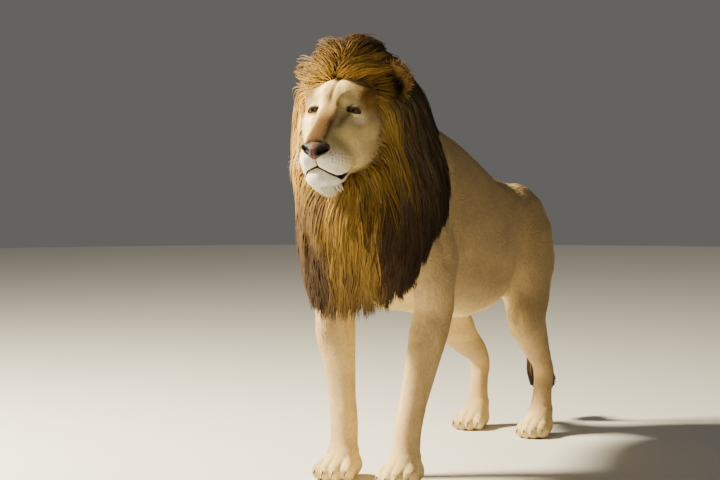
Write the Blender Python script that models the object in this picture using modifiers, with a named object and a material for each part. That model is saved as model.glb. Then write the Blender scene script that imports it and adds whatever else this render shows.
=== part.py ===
"""A life-size standing male lion, as a still museum model of named solids.

Metres, +Z up.  The lion faces -Y and its left side is +X.  The flesh is lofted and swollen from
a few landmarks, fused into one body, and parted into its named pieces by thin cuts.  The mane is
a second body wrapped round the head, neck and chest, less everything it lies on.  Landmarks are
given from the middle of the trunk; at the end the lion is moved onto its origin.
"""

import math

import bpy
import bmesh
from mathutils import Matrix, Vector

# ---------------------------------------------------------------- driving sizes
GAP = 0.0006               # width of every cut between two pieces
CLEARANCE = 0.0004         # room left round an eye, the nose or an ear
MANE_CLEARANCE = 0.0015    # room left between the mane and what it lies on
BODY_VOXEL = 0.011
HEAD_VOXEL = 0.006
MANE_VOXEL = 0.012
BODY_TRIANGLES = 1700
HEAD_TRIANGLES = 760
MANE_TRIANGLES = 340
FOLD = -0.3                # cosine of the sharpest turn allowed between two facets
CRUMB = 5e-5               # a shell smaller than this, in cubic metres, is dropped

WITHERS_Y, WITHERS_Z = -0.34, 1.045     # top of the shoulders
CROUP_Y, CROUP_Z = 0.44, 0.835          # top of the hindquarters
CHEST_FLOOR = 0.475                     # underside of the breastbone
BELLY_FLOOR = 0.405

EYE_CENTRE = Vector((-0.008, -0.745, 1.063))   # midway between the two eyes
HEAD_PITCH = math.radians(1.5)                 # nose raised
EYE_SPREAD = 0.062
EYE_RADIUS = 0.019
EYE_SET = -0.010

FORE_STANCE = 0.107        # half the distance between the forepaws
ELBOW = Vector((0.155, -0.405, 0.50))
WRIST = Vector((0.108, -0.468, 0.160))
FOREPAW_Y = -0.505
FORE_STEP = 0.030          # how far the left forepaw stands before, and the right one behind

HIP = Vector((0.105, 0.485, 0.665))
KNEE = Vector((0.140, 0.425, 0.385))
HOCK = Vector((0.127, 0.665, 0.220))
HINDPAW_Y = 0.590
FAR_LEG_BACK = 0.11        # how far the right hind foot stands behind the left one

TAIL_BASE = Vector((0.0, 0.665, 0.748))

TAWNY = (0.50, 0.36, 0.20)
DARK_MANE = (0.10, 0.06, 0.035)
GOLD_MANE = (0.52, 0.28, 0.09)


# ---------------------------------------------------------------- tools
def start_clean():
    for obj in list(bpy.data.objects):
        bpy.data.objects.remove(obj, do_unlink=True)
    lion = bpy.data.collections.new("lion")
    bpy.context.scene.collection.children.link(lion)
    return lion


LION = start_clean()


def finish_of(name, colour, roughness):
    """A plain Principled material in one colour."""
    material = bpy.data.materials.new(name)
    material.use_nodes = True
    shader = material.node_tree.nodes["Principled BSDF"]
    shader.inputs["Base Color"].default_value = (*colour, 1.0)
    shader.inputs["Roughness"].default_value = roughness
    return material


def object_from(name, bm):
    """Turns a bmesh into an object of the lion collection, with its faces pointing out."""
    bmesh.ops.recalc_face_normals(bm, faces=bm.faces)
    mesh = bpy.data.meshes.new(name)
    bm.to_mesh(mesh)
    bm.free()
    obj = bpy.data.objects.new(name, mesh)
    LION.objects.link(obj)
    return obj


def evaluated_mesh(obj):
    """Bakes the modifiers of an object into its mesh."""
    bpy.context.view_layer.update()
    graph = bpy.context.evaluated_depsgraph_get()
    mesh = bpy.data.meshes.new_from_object(obj.evaluated_get(graph))
    obj.modifiers.clear()
    obj.data = mesh
    return obj


def loft(stations, sides=24, power=2.0, level=False):
    """A closed skin through superellipse rings.

    Each station is (centre, half_width, half_depth).  A ring stands square to the path, or lies
    level, with its width along X and its depth across the path.
    """
    bm = bmesh.new()
    rings = []
    centres = [Vector(s[0]) for s in stations]
    for i, (_, half_width, half_depth) in enumerate(stations):
        before = centres[max(i - 1, 0)]
        after = centres[min(i + 1, len(centres) - 1)]
        along = Vector((0, 0, -1)) if level else (after - before).normalized()
        side = (Vector((1, 0, 0)) - along * along.x).normalized()
        across = along.cross(side)
        ring = []
        for k in range(sides):
            turn = 2 * math.pi * k / sides
            c, s = math.cos(turn), math.sin(turn)
            x = math.copysign(abs(c) ** (2 / power), c) * half_width
            y = math.copysign(abs(s) ** (2 / power), s) * half_depth
            ring.append(bm.verts.new(centres[i] + side * x + across * y))
        rings.append(ring)
    for one, two in zip(rings, rings[1:]):
        for k in range(sides):
            m = (k + 1) % sides
            bm.faces.new((one[k], one[m], two[m], two[k]))
    bm.faces.new(rings[0])
    bm.faces.new(rings[-1])
    return object_from("loft", bm)


def ball(centre, radii, tilt=0.0, yaw=0.0, segments=24):
    """An ellipsoid with radii along X, Y and Z, tilted about X and then turned about Z."""
    bm = bmesh.new()
    bmesh.ops.create_uvsphere(bm, u_segments=segments, v_segments=segments // 2, radius=1.0)
    place = (
        Matrix.Translation(Vector(centre))
        @ Matrix.Rotation(yaw, 4, "Z")
        @ Matrix.Rotation(tilt, 4, "X")
        @ Matrix.Diagonal((*radii, 1.0))
    )
    bm.transform(place)
    return object_from("ball", bm)


def joined(name, pieces):
    """One object that holds the meshes of several, still as separate shells."""
    bm = bmesh.new()
    for piece in pieces:
        bm.from_mesh(piece.data)
        bpy.data.objects.remove(piece, do_unlink=True)
    obj = object_from(name, bm)
    return obj


def fused(name, pieces, voxel, rounds):
    """Melts overlapping shells into one skin: voxel remesh, then smoothing that fills the creases."""
    obj = joined(name, pieces)
    remesh = obj.modifiers.new("fuse", "REMESH")
    remesh.mode = "VOXEL"
    remesh.voxel_size = voxel
    smooth = obj.modifiers.new("smooth", "SMOOTH")
    smooth.factor = 0.5
    smooth.iterations = rounds
    return evaluated_mesh(obj)


def thinned(obj, triangles):
    """Collapses a dense mesh to about this many triangles, then irons out the folds that leaves."""
    obj.data.calc_loop_triangles()
    shrink = obj.modifiers.new("thin", "DECIMATE")
    shrink.use_collapse_triangulate = True
    shrink.ratio = min(1.0, triangles / max(1, len(obj.data.loop_triangles)))
    evaluated_mesh(obj)
    bm = bmesh.new()
    bm.from_mesh(obj.data)
    for _ in range(12):
        folded = {
            vert
            for edge in bm.edges
            if edge.link_faces[0].normal.dot(edge.link_faces[1].normal) < FOLD
            for face in edge.link_faces
            for vert in face.verts
        }
        if not folded:
            break
        bmesh.ops.smooth_vert(
            bm, verts=list(folded), factor=0.5, use_axis_x=True, use_axis_y=True, use_axis_z=True
        )
        bm.normal_update()
    bm.to_mesh(obj.data)
    bm.free()
    return obj


def boolean(obj, other, operation, solver="EXACT"):
    """Joins or cuts an object with another, which is used up."""
    step = obj.modifiers.new("boolean", "BOOLEAN")
    step.operation = operation
    step.solver = solver
    step.object = other
    obj.modifiers.new("flat faces only", "TRIANGULATE")
    evaluated_mesh(obj)
    bpy.data.objects.remove(other, do_unlink=True)
    return obj


def swollen(obj, amount):
    """A copy pushed out along its normals, used to cut a neighbour with some clearance."""
    copy = obj.copy()
    copy.data = obj.data.copy()
    LION.objects.link(copy)
    push = copy.modifiers.new("swell", "DISPLACE")
    push.strength = amount
    push.mid_level = 0.0
    return evaluated_mesh(copy)


def slab(corner, along, across):
    """A thin sheet-like cutter: the parallelogram from a corner along two edges, one gap thick."""
    corner, along, across = Vector(corner), Vector(along), Vector(across)
    normal = along.cross(across).normalized() * (GAP / 2)
    bm = bmesh.new()
    outline = [corner, corner + along, corner + along + across, corner + across]
    low = [bm.verts.new(p - normal) for p in outline]
    high = [bm.verts.new(p + normal) for p in outline]
    bm.faces.new(low)
    bm.faces.new(high)
    for k in range(4):
        m = (k + 1) % 4
        bm.faces.new((low[k], low[m], high[m], high[k]))
    return object_from("slab", bm)


def plane_cut(point, normal, reach=1.5):
    """A wide slab through a point, square to a normal in the YZ plane."""
    side = Vector((1, 0, 0))
    up = Vector(normal).normalized().cross(side)
    return slab(Vector(point) - (side + up) * reach, side * 2 * reach, up * 2 * reach)


def loose_pieces(obj):
    """Splits an object into its separate closed shells, largest first."""
    bm = bmesh.new()
    bm.from_mesh(obj.data)
    bm.verts.index_update()
    seen, groups = set(), []
    for start in bm.verts:
        if start in seen:
            continue
        group, stack = [], [start]
        seen.add(start)
        while stack:
            vert = stack.pop()
            group.append(vert)
            for edge in vert.link_edges:
                other = edge.other_vert(vert)
                if other not in seen:
                    seen.add(other)
                    stack.append(other)
        groups.append({v.index for v in group})
    shells = []
    for group in groups:
        part = bm.copy()
        part.verts.ensure_lookup_table()
        bmesh.ops.delete(part, geom=[v for v in part.verts if v.index not in group], context="VERTS")
        volume = abs(part.calc_volume())
        shells.append((volume, object_from("shell", part)))
    bm.free()
    bpy.data.objects.remove(obj, do_unlink=True)
    shells.sort(key=lambda pair: -pair[0])
    return shells


def centre_of(obj):
    points = [v.co for v in obj.data.vertices]
    low = Vector([min(p[k] for p in points) for k in range(3)])
    high = Vector([max(p[k] for p in points) for k in range(3)])
    return (low + high) / 2


def split(obj, cuts, places):
    """Cuts an object and names each shell after the landmark nearest to the middle of its box."""
    for cut in cuts:
        boolean(obj, cut, "DIFFERENCE")
    shells = loose_pieces(obj)
    whole = [shell for volume, shell in shells if volume >= CRUMB]
    for volume, shell in shells:
        if volume < CRUMB:
            bpy.data.objects.remove(shell, do_unlink=True)
    pairs = sorted(
        ((Vector(places[name]) - centre_of(shell)).length, name, i)
        for name in places
        for i, shell in enumerate(whole)
    )
    named, used = {}, set()
    for _, name, i in pairs:
        if name not in named and i not in used:
            whole[i].name = whole[i].data.name = name
            named[name] = whole[i]
            used.add(i)
    return named


# ---------------------------------------------------------------- trunk, neck and tail
def trunk():
    """Deep oval rings from the breast to the buttocks; the back falls from withers to croup."""
    rings = (  # y, top, underside, half width
        (-0.655, 0.800, 0.620, 0.070),
        (-0.610, 0.885, 0.560, 0.125),
        (-0.520, 0.985, 0.505, 0.160),
        (-0.420, WITHERS_Z - 0.010, 0.485, 0.175),
        (WITHERS_Y, WITHERS_Z, CHEST_FLOOR, 0.182),
        (-0.220, WITHERS_Z - 0.018, 0.462, 0.184),
        (-0.080, 0.985, 0.440, 0.186),
        (0.060, 0.932, 0.418, 0.186),
        (0.190, 0.885, BELLY_FLOOR, 0.182),
        (0.310, CROUP_Z + 0.018, 0.415, 0.166),
        (CROUP_Y, CROUP_Z, 0.470, 0.150),
        (0.560, 0.812, 0.525, 0.138),
        (0.640, 0.775, 0.585, 0.098),
        (0.685, 0.735, 0.640, 0.045),
    )
    stations = [
        ((0.0, y, (top + under) / 2), half_width, (top - under) / 2)
        for y, top, under, half_width in rings
    ]
    spine = [ball((0, WITHERS_Y + 0.02, WITHERS_Z - 0.050), (0.075, 0.160, 0.062), tilt=-0.10)]
    return [loft(stations, sides=32, power=2.15)] + spine


def neck():
    stations = [
        ((0.0, -0.340, 0.780), 0.125, 0.190),
        ((0.0, -0.430, 0.865), 0.120, 0.175),
        ((0.0, -0.510, 0.950), 0.112, 0.150),
        ((0.0, -0.580, 1.010), 0.102, 0.125),
        ((0.0, -0.640, 1.035), 0.085, 0.095),
    ]
    return [loft(stations)]


TAIL_PATH = [
    TAIL_BASE + Vector((0, -0.06, 0.012)),
    TAIL_BASE + Vector((0, 0.04, -0.012)),
    TAIL_BASE + Vector((0, 0.105, -0.075)),
    TAIL_BASE + Vector((0.004, 0.145, -0.185)),
    TAIL_BASE + Vector((0.010, 0.160, -0.305)),
    TAIL_BASE + Vector((0.016, 0.172, -0.420)),
    TAIL_BASE + Vector((0.020, 0.205, -0.515)),
]
TUFT_PATH = [
    TAIL_PATH[-1],
    TAIL_BASE + Vector((0.022, 0.238, -0.568)),
    TAIL_BASE + Vector((0.023, 0.285, -0.606)),
    TAIL_BASE + Vector((0.023, 0.340, -0.622)),
    TAIL_BASE + Vector((0.022, 0.395, -0.616)),
]


def tail():
    thick = [0.046, 0.039, 0.031, 0.026, 0.023, 0.021, 0.021]
    tuft = [0.021, 0.034, 0.045, 0.036, 0.010]
    return [
        loft([(p, r, r) for p, r in zip(TAIL_PATH, thick)], sides=16),
        loft([(p, r, r) for p, r in zip(TUFT_PATH, tuft)], sides=16),
    ]


# ---------------------------------------------------------------- legs
def paw(x, y, length, width, height, splay):
    """A rounded pad with four toes in front; the floor later cuts its sole flat."""
    heel = ball((x, y + 0.16 * length, 0.46 * height), (0.42 * width, 0.40 * length, 0.58 * height))
    instep = ball((x, y - 0.06 * length, 0.50 * height), (0.44 * width, 0.36 * length, 0.52 * height))
    pieces = [heel, instep]
    for toe in (-1.5, -0.5, 0.5, 1.5):
        reach = 0.34 if abs(toe) < 1 else 0.25
        place = (x + toe * 0.245 * width, y - reach * length, 0.36 * height)
        pieces.append(ball(place, (0.145 * width, 0.215 * length, 0.44 * height), yaw=toe * splay))
    return pieces


def foreleg(side):
    """Shoulder, upper arm, forearm and paw of one side, from the joints' places."""
    step = -FORE_STEP * side
    paw_y = FOREPAW_Y + step
    elbow = Vector((side * ELBOW.x, ELBOW.y, ELBOW.z))
    wrist = Vector((side * WRIST.x, WRIST.y + 0.9 * step, WRIST.z))
    middle = elbow.lerp(wrist, 0.5)
    stations = [
        ((side * 0.118, -0.430, 0.900), 0.048, 0.095),
        ((side * 0.140, -0.455, 0.780), 0.058, 0.112),
        ((side * 0.154, -0.460, 0.670), 0.062, 0.112),
        ((side * 0.160, -0.435, 0.580), 0.062, 0.094),
        (elbow, 0.059, 0.076),
        (elbow.lerp(wrist, 0.22), 0.059, 0.067),
        (middle, 0.052, 0.056),
        (elbow.lerp(wrist, 0.78), 0.045, 0.047),
        (wrist, 0.045, 0.048),
        ((side * FORE_STANCE, paw_y + 0.028, 0.095), 0.045, 0.050),
        ((side * FORE_STANCE, paw_y + 0.012, 0.050), 0.050, 0.058),
    ]
    muscles = [
        ball((side * 0.142, -0.530, 0.690), (0.054, 0.062, 0.095), tilt=0.35),    # point of shoulder
        ball((side * 0.128, -0.380, 0.860), (0.055, 0.105, 0.150), tilt=-0.35),   # shoulder blade
        ball((side * 0.158, -0.355, 0.610), (0.050, 0.066, 0.115), tilt=-0.30),   # back of the arm
        ball((side * 0.155, -0.338, 0.515), (0.034, 0.030, 0.046)),               # elbow point
        ball((side * 0.156, -0.448, 0.425), (0.046, 0.040, 0.100), tilt=0.10),    # front of forearm
        ball(wrist + Vector((0, 0.038, -0.020)), (0.028, 0.020, 0.028)),          # wrist pad
    ]
    return [loft(stations)] + muscles + paw(
        side * FORE_STANCE, paw_y, length=0.185, width=0.128, height=0.078, splay=-0.10 * side
    )


def hind_joints(side, back):
    """Hip, knee, hock and paw of one side; a leg set back swings at the hip."""
    hip = Vector((side * HIP.x, HIP.y + 0.10 * back, HIP.z))
    knee = Vector((side * KNEE.x, KNEE.y + 0.55 * back, KNEE.z - 0.10 * back))
    hock = Vector((side * HOCK.x, HOCK.y + back, HOCK.z + 0.05 * back))
    return hip, knee, hock, HINDPAW_Y + back


def hind_setback(side):
    return FAR_LEG_BACK if side < 0 else 0.0


def hindleg(side):
    hip, knee, hock, paw_y = hind_joints(side, hind_setback(side))
    below = knee.lerp(hock, 0.30) + Vector((0, 0.012, 0.004))
    calf = knee.lerp(hock, 0.62) + Vector((0, 0.004, 0.0))
    stations = [
        (hip + Vector((-0.02 * side, -0.005, 0.085)), 0.066, 0.130),
        (hip + Vector((0.008 * side, 0.005, 0.0)), 0.082, 0.152),
        (hip.lerp(knee, 0.45) + Vector((0, 0.035, 0)), 0.080, 0.146),
        (hip.lerp(knee, 0.80) + Vector((0, 0.030, 0)), 0.068, 0.118),
        (knee + Vector((0, 0.030, -0.010)), 0.058, 0.092),
        (below, 0.052, 0.074),
        (calf, 0.043, 0.056),
        (hock + Vector((0, -0.030, 0.018)), 0.037, 0.044),
        (hock + Vector((0, -0.002, -0.020)), 0.037, 0.044),
        (hock + Vector((0, -0.020, -0.085)), 0.035, 0.040),
        (Vector((hock.x, paw_y + 0.045, 0.075)), 0.040, 0.045),
        (Vector((hock.x, paw_y + 0.020, 0.042)), 0.046, 0.052),
    ]
    muscles = [
        ball(knee + Vector((0.0, -0.030, 0.030)), (0.050, 0.048, 0.062), tilt=-0.2),          # kneecap
        ball(hip + Vector((0.018 * side, 0.085, -0.075)), (0.070, 0.085, 0.155), tilt=0.20),  # buttock
        ball(hip + Vector((0.015 * side, -0.070, -0.050)), (0.066, 0.082, 0.155), tilt=-0.15),
        ball(knee.lerp(hock, 0.34) + Vector((0, 0.040, 0.030)), (0.036, 0.070, 0.046), tilt=-0.6),
        ball(hock + Vector((0, 0.024, 0.004)), (0.021, 0.024, 0.034)),                        # heel bone
    ]
    return [loft(stations)] + muscles + paw(
        hock.x, paw_y, length=0.165, width=0.112, height=0.068, splay=-0.08 * side
    )


# ---------------------------------------------------------------- head
def on_head(right, forward, up):
    """A place measured from midway between the eyes: to the lion's left, forward and up."""
    c, s = math.cos(HEAD_PITCH), math.sin(HEAD_PITCH)
    return EYE_CENTRE + Vector((right, -forward * c + up * s, forward * s + up * c))


def head_ball(right, forward, up, radii, tilt=0.0, yaw=0.0):
    return ball(on_head(right, forward, up), radii, tilt=tilt - HEAD_PITCH, yaw=yaw)


def head():
    masses = [
        head_ball(0, -0.125, 0.012, (0.096, 0.135, 0.098)),           # braincase
        head_ball(0, -0.054, 0.026, (0.086, 0.076, 0.060)),           # forehead
        head_ball(0, -0.085, -0.112, (0.085, 0.110, 0.082)),          # throat
        head_ball(0, 0.012, -0.062, (0.072, 0.074, 0.064)),           # middle of the face
        head_ball(0, 0.078, -0.102, (0.061, 0.085, 0.056)),           # muzzle
        head_ball(0, 0.045, -0.165, (0.054, 0.092, 0.040)),           # lower jaw
        head_ball(0, 0.102, -0.184, (0.045, 0.043, 0.036)),           # chin
    ]
    for side in (1, -1):
        masses += [
            head_ball(side * 0.050, -0.027, 0.033, (0.042, 0.036, 0.021)),      # brow
            head_ball(side * 0.068, -0.078, 0.024, (0.042, 0.072, 0.050)),      # temple
            head_ball(side * 0.066, -0.084, -0.046, (0.064, 0.104, 0.078)),     # cheekbone
            head_ball(side * 0.058, -0.085, -0.110, (0.062, 0.098, 0.076)),     # jaw muscle
            head_ball(side * 0.048, -0.008, -0.070, (0.046, 0.070, 0.060)),     # below the eye
            head_ball(side * 0.038, 0.104, -0.118, (0.042, 0.053, 0.040)),      # whisker pad
            head_ball(side * 0.049, 0.050, -0.128, (0.037, 0.068, 0.038)),      # cheek lip
        ]
    bridge = loft(
        [
            (on_head(0, -0.045, 0.008), 0.048, 0.050),
            (on_head(0, 0.000, -0.022), 0.040, 0.050),
            (on_head(0, 0.060, -0.058), 0.036, 0.045),
            (on_head(0, 0.110, -0.082), 0.037, 0.036),
            (on_head(0, 0.150, -0.096), 0.035, 0.026),
        ],
        power=2.6,
    )
    return masses + [bridge]


def nose():
    """The bare nose pad: a wedge wider at the top, standing proud of the muzzle."""
    masses = [
        head_ball(0, 0.150, -0.082, (0.034, 0.020, 0.017)),
        head_ball(0, 0.152, -0.102, (0.020, 0.016, 0.020)),
        head_ball(0.022, 0.146, -0.090, (0.017, 0.019, 0.015)),
        head_ball(-0.022, 0.146, -0.090, (0.017, 0.019, 0.015)),
    ]
    return thinned(fused("nose", masses, 0.003, 4), 150)


def eye(side):
    return ball(on_head(side * EYE_SPREAD, EYE_SET, 0), (EYE_RADIUS,) * 3, segments=12)


def ear(side):
    """A thick round shell, cupped forwards and outwards."""
    base = on_head(side * 0.118, -0.165, 0.090)
    turn = side * math.radians(28)
    shell = ball(base, (0.055, 0.036, 0.060), tilt=-0.15, yaw=turn, segments=16)
    outward = Vector((side * math.sin(math.radians(28)), -math.cos(math.radians(28)), 0.0))
    hollow = ball(base + outward * 0.034, (0.041, 0.040, 0.046), tilt=-0.15, yaw=turn, segments=12)
    return boolean(shell, hollow, "DIFFERENCE")


# ---------------------------------------------------------------- mane
def mane():
    """The mane's outer shape, from the wind-swept crown down to the fringe between the forelegs."""
    rings = (  # height, sideways, front, back, half width
        (1.268, -0.060, -0.640, -0.560, 0.036),
        (1.250, -0.060, -0.690, -0.500, 0.085),
        (1.215, -0.058, -0.715, -0.430, 0.136),
        (1.165, -0.044, -0.722, -0.355, 0.165),
        (1.100, -0.018, -0.718, -0.290, 0.186),
        (1.000, 0.000, -0.716, -0.240, 0.202),
        (0.915, 0.000, -0.752, -0.215, 0.207),
        (0.830, 0.000, -0.778, -0.215, 0.210),
        (0.750, 0.000, -0.778, -0.235, 0.210),
        (0.670, 0.000, -0.765, -0.290, 0.197),
        (0.590, 0.000, -0.745, -0.370, 0.174),
        (0.520, 0.000, -0.715, -0.440, 0.140),
        (0.475, 0.000, -0.680, -0.520, 0.090),
        (0.455, 0.000, -0.650, -0.570, 0.040),
    )
    stations = [((x, (f + b) / 2, z), w, (b - f) / 2) for z, x, f, b, w in rings]
    shape = fused("mane", [loft(stations, sides=36, power=2.15, level=True)], MANE_VOXEL, 3)
    rooms = [
        head_ball(0, 0.120, -0.050, (0.135, 0.230, 0.170)),                   # before the face
        head_ball(0.152, -0.092, 0.092, (0.060, 0.064, 0.062), yaw=0.5),      # before the left ear
        head_ball(-0.205, -0.185, 0.080, (0.075, 0.042, 0.050), yaw=-0.2),    # beside the right ear
    ]
    for room in rooms:
        boolean(shape, room, "DIFFERENCE")
    return shape


# ---------------------------------------------------------------- parting the flesh
CHEST_BACK = -0.060        # where the chest ends and the belly begins
LOIN = 0.315               # where the belly ends and the rump begins
SIDES = (("left", 1), ("right", -1))


def part_trunk(flesh):
    """Cuts across the trunk and the tail's root."""
    cuts = [
        plane_cut((0, CHEST_BACK, 0.7), (0, 1, 0)),
        plane_cut((0, LOIN, 0.7), (0, 1, 0)),
        slab(TAIL_PATH[1] + Vector((-0.1, -0.014, -0.118)), (0.2, 0, 0), (0, 0.060, 0.230)),
    ]
    places = {"front": (0, -0.5, 0.65), "belly": (0, 0.13, 0.66), "hind": (0, 0.54, 0.42)}
    places["tail"] = (0, 0.85, 0.45)
    return split(flesh, cuts, places)


def part_front(front):
    """Takes the forelegs off the chest, and parts the chest, neck, head and lower jaw."""
    reach = Vector((0, CHEST_BACK + 1.0, 0))
    cuts = [
        slab((side * 0.085, -0.98, 0.40), reach, Vector((side * 0.087, 0, 0.70))) for _, side in SIDES
    ]
    places = {"chest": (0, -0.5, 0.85), "leg_left": (0.15, -0.4, 0.5), "leg_right": (-0.15, -0.4, 0.5)}
    pieces = split(front, cuts, places)
    for word, side in SIDES:
        cuts = [plane_cut((0, -0.44, 0.452), (0, 0.10, 1)), plane_cut((0, -0.48, 0.108), (0, 0, 1))]
        places = {
            "shoulder_" + word: (side * 0.16, -0.40, 0.68),
            "forearm_" + word: (side * 0.135, -0.43, 0.28),
            "forepaw_" + word: (side * 0.107, -0.49, 0.05),
        }
        split(pieces["leg_" + word], cuts, places)
    wide = Vector((0.4, 0, 0))
    mouth_back = on_head(0, 0.020, -0.150)
    cuts = [
        plane_cut((0, -0.430, 0.870), (0, -0.75, 0.66)),
        plane_cut(on_head(0, -0.200, -0.030), (0, -0.95, 0.31)),
        slab(mouth_back - wide / 2, on_head(0, 0.200, -0.148) - mouth_back, wide),
        slab(mouth_back - wide / 2, Vector((0, 0.030, -0.12)), wide),
    ]
    places = {"chest": (0, -0.34, 0.75), "neck": (0, -0.55, 0.88), "head": on_head(0, -0.04, -0.03)}
    places["lower_jaw"] = on_head(0, 0.07, -0.19)
    split(pieces["chest"], cuts, places)


def part_hind(hind):
    """Takes the hind legs off the rump and parts each at the knee and the hock."""
    cuts = [
        slab((side * 0.045, LOIN - 0.1, 0.385), (0, 0.9, 0), Vector((side * 0.185, 0, 0.445)))
        for _, side in SIDES
    ]
    places = {"rump": (0, 0.5, 0.66), "leg_left": (0.15, 0.5, 0.4), "leg_right": (-0.15, 0.5, 0.4)}
    pieces = split(hind, cuts, places)
    for word, side in SIDES:
        hip, knee, hock, paw_y = hind_joints(side, hind_setback(side))
        shin = (hock - knee).normalized()
        cuts = [
            plane_cut(knee.lerp(hock, 0.20), (0, shin.y - 0.25, shin.z - 0.15)),
            plane_cut(hock + Vector((0, -0.012, -0.050)), (0, 0.15, 1.0)),
        ]
        places = {
            "thigh_" + word: hip.lerp(knee, 0.5),
            "shin_" + word: knee.lerp(hock, 0.6),
            "hindpaw_" + word: (side * 0.127, paw_y, 0.08),
        }
        split(pieces["leg_" + word], cuts, places)


def part_mane(wrap):
    """Parts the mane into crown, two sides and bib."""
    cuts = [plane_cut((0, -0.6, CROWN_HEIGHT), (0, 0, 1)), plane_cut((0, -0.6, BIB_HEIGHT), (0, 0, 1))]
    cuts.append(slab((0, -1.0, BIB_HEIGHT), (0, 1.2, 0), (0, 0, CROWN_HEIGHT - BIB_HEIGHT)))
    places = {
        "mane_crown": (0, -0.50, 1.18),
        "mane_left": (0.13, -0.48, 0.95),
        "mane_right": (-0.13, -0.48, 0.95),
        "mane_bib": (0, -0.55, 0.64),
    }
    split(wrap, cuts, places)


CROWN_HEIGHT = 1.105
BIB_HEIGHT = 0.800


def centre_on_origin():
    """Moves the lion so that the origin is under the middle of its bounding box."""
    points = [vert.co for obj in LION.objects for vert in obj.data.vertices]
    middle = [(min(p[k] for p in points) + max(p[k] for p in points)) / 2 for k in (0, 1)]
    for obj in LION.objects:
        obj.data.transform(Matrix.Translation((-middle[0], -middle[1], 0.0)))


def build():
    coat = finish_of("short_coat", TAWNY, 0.85)
    dark = finish_of("dark_mane", DARK_MANE, 0.8)
    gold = finish_of("gold_mane", GOLD_MANE, 0.8)
    leather = finish_of("nose_leather", (0.09, 0.045, 0.04), 0.45)
    amber = finish_of("eye_amber", (0.45, 0.22, 0.04), 0.1)

    body_masses = trunk() + neck() + tail()
    for _, side in SIDES:
        body_masses += foreleg(side) + hindleg(side)
    body = thinned(fused("body", body_masses, BODY_VOXEL, 7), BODY_TRIANGLES)
    skull = thinned(fused("skull", head(), HEAD_VOXEL, 7), HEAD_TRIANGLES)
    flesh = boolean(body, skull, "UNION")

    bm = bmesh.new()
    bmesh.ops.create_cube(bm, size=1.0, matrix=Matrix.Translation((0, 0, -0.5)) @ Matrix.Diagonal((4, 4, 1, 1)))
    boolean(flesh, object_from("floor", bm), "DIFFERENCE")

    wrap = thinned(mane(), MANE_TRIANGLES)
    for room in (MANE_CLEARANCE, CLEARANCE):
        boolean(wrap, swollen(flesh, room), "DIFFERENCE", solver="MANIFOLD")

    nose_pad = nose()
    boolean(flesh, swollen(nose_pad, CLEARANCE), "DIFFERENCE")
    eyes = {}
    for word, side in SIDES:
        eyes[word] = eye(side)
        boolean(flesh, swollen(eyes[word], CLEARANCE), "DIFFERENCE")
    ears = {}
    for word, side in SIDES:
        shell = ear(side)
        boolean(shell, swollen(flesh, CLEARANCE), "DIFFERENCE")
        pieces = loose_pieces(shell)
        ears[word] = pieces[0][1]
        for _, crumb in pieces[1:]:
            bpy.data.objects.remove(crumb, do_unlink=True)

    for shell in ears.values():
        boolean(wrap, swollen(shell, MANE_CLEARANCE), "DIFFERENCE")
    part_mane(wrap)

    trunk_pieces = part_trunk(flesh)
    part_front(trunk_pieces["front"])
    part_hind(trunk_pieces["hind"])
    split(trunk_pieces["tail"], [plane_cut(TAIL_PATH[-1], (0, 0.50, -0.85))], {
        "tail": (0, 0.80, 0.50),
        "tail_tuft": (0, 0.95, 0.17),
    })

    nose_pad.name = "nose"
    for word, _ in SIDES:
        eyes[word].name = "eye_" + word
        ears[word].name = "ear_" + word
    finishes = {"nose": leather, "mane_crown": gold, "mane_bib": gold, "tail_tuft": dark}
    finishes.update({"eye_left": amber, "eye_right": amber, "mane_left": dark, "mane_right": dark})
    centre_on_origin()
    for obj in LION.objects:
        obj.data.materials.clear()
        obj.data.materials.append(finishes.get(obj.name, coat))
        obj.data.shade_smooth()
        obj.data.set_sharp_from_angle(angle=math.radians(50))


build()
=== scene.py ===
"""A life-size standing male lion: skin, eyes, nose, ears, claws, whiskers, short coat and mane.

The lion faces -Y and its left side is +X.  Shapes are worked out in the plan's own frame, where
the landmarks stand, and put() moves each finished piece to where the solids are.
"""

import math

import bmesh
import bpy
import numpy as np
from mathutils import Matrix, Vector


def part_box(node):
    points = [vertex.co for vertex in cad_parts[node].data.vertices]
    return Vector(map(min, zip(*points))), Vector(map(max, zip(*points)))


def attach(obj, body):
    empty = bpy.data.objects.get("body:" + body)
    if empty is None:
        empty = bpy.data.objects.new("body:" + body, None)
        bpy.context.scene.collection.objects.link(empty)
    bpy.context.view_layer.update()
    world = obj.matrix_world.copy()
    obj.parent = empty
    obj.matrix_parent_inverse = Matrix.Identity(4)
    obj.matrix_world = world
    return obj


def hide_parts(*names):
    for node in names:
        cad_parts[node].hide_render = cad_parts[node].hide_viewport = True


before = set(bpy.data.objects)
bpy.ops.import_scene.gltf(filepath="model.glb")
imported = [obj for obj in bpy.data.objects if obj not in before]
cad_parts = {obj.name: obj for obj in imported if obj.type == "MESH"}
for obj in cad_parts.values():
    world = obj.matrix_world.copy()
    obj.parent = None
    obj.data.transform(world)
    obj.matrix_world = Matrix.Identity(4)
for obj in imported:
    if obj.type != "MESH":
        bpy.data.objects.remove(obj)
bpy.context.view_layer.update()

# ------------------------------------------------------------------ skin
# The hide over muscle and bone, one closed sheet from the nose to the tail.  It is swollen from
# the body's masses, melted together, and then folded at the lids, lips, brow and toes.
EYES_MIDDLE = np.array((-0.008, -0.745, 1.063))
HEAD_PITCH = math.radians(1.5)
HEAD_TURN = math.radians(2.7)
HEAD_MIDDLE = EYES_MIDDLE + (-0.007, 0, 0)  # the face's middle line, a little to the right of the plan's
COAT_DEPTH = 0.0045
FACE_COAT_DEPTH = 0.0015  # also on the paws
SKIN_VOXEL = 0.0101
SAME_PLACE = 1e-6

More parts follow.
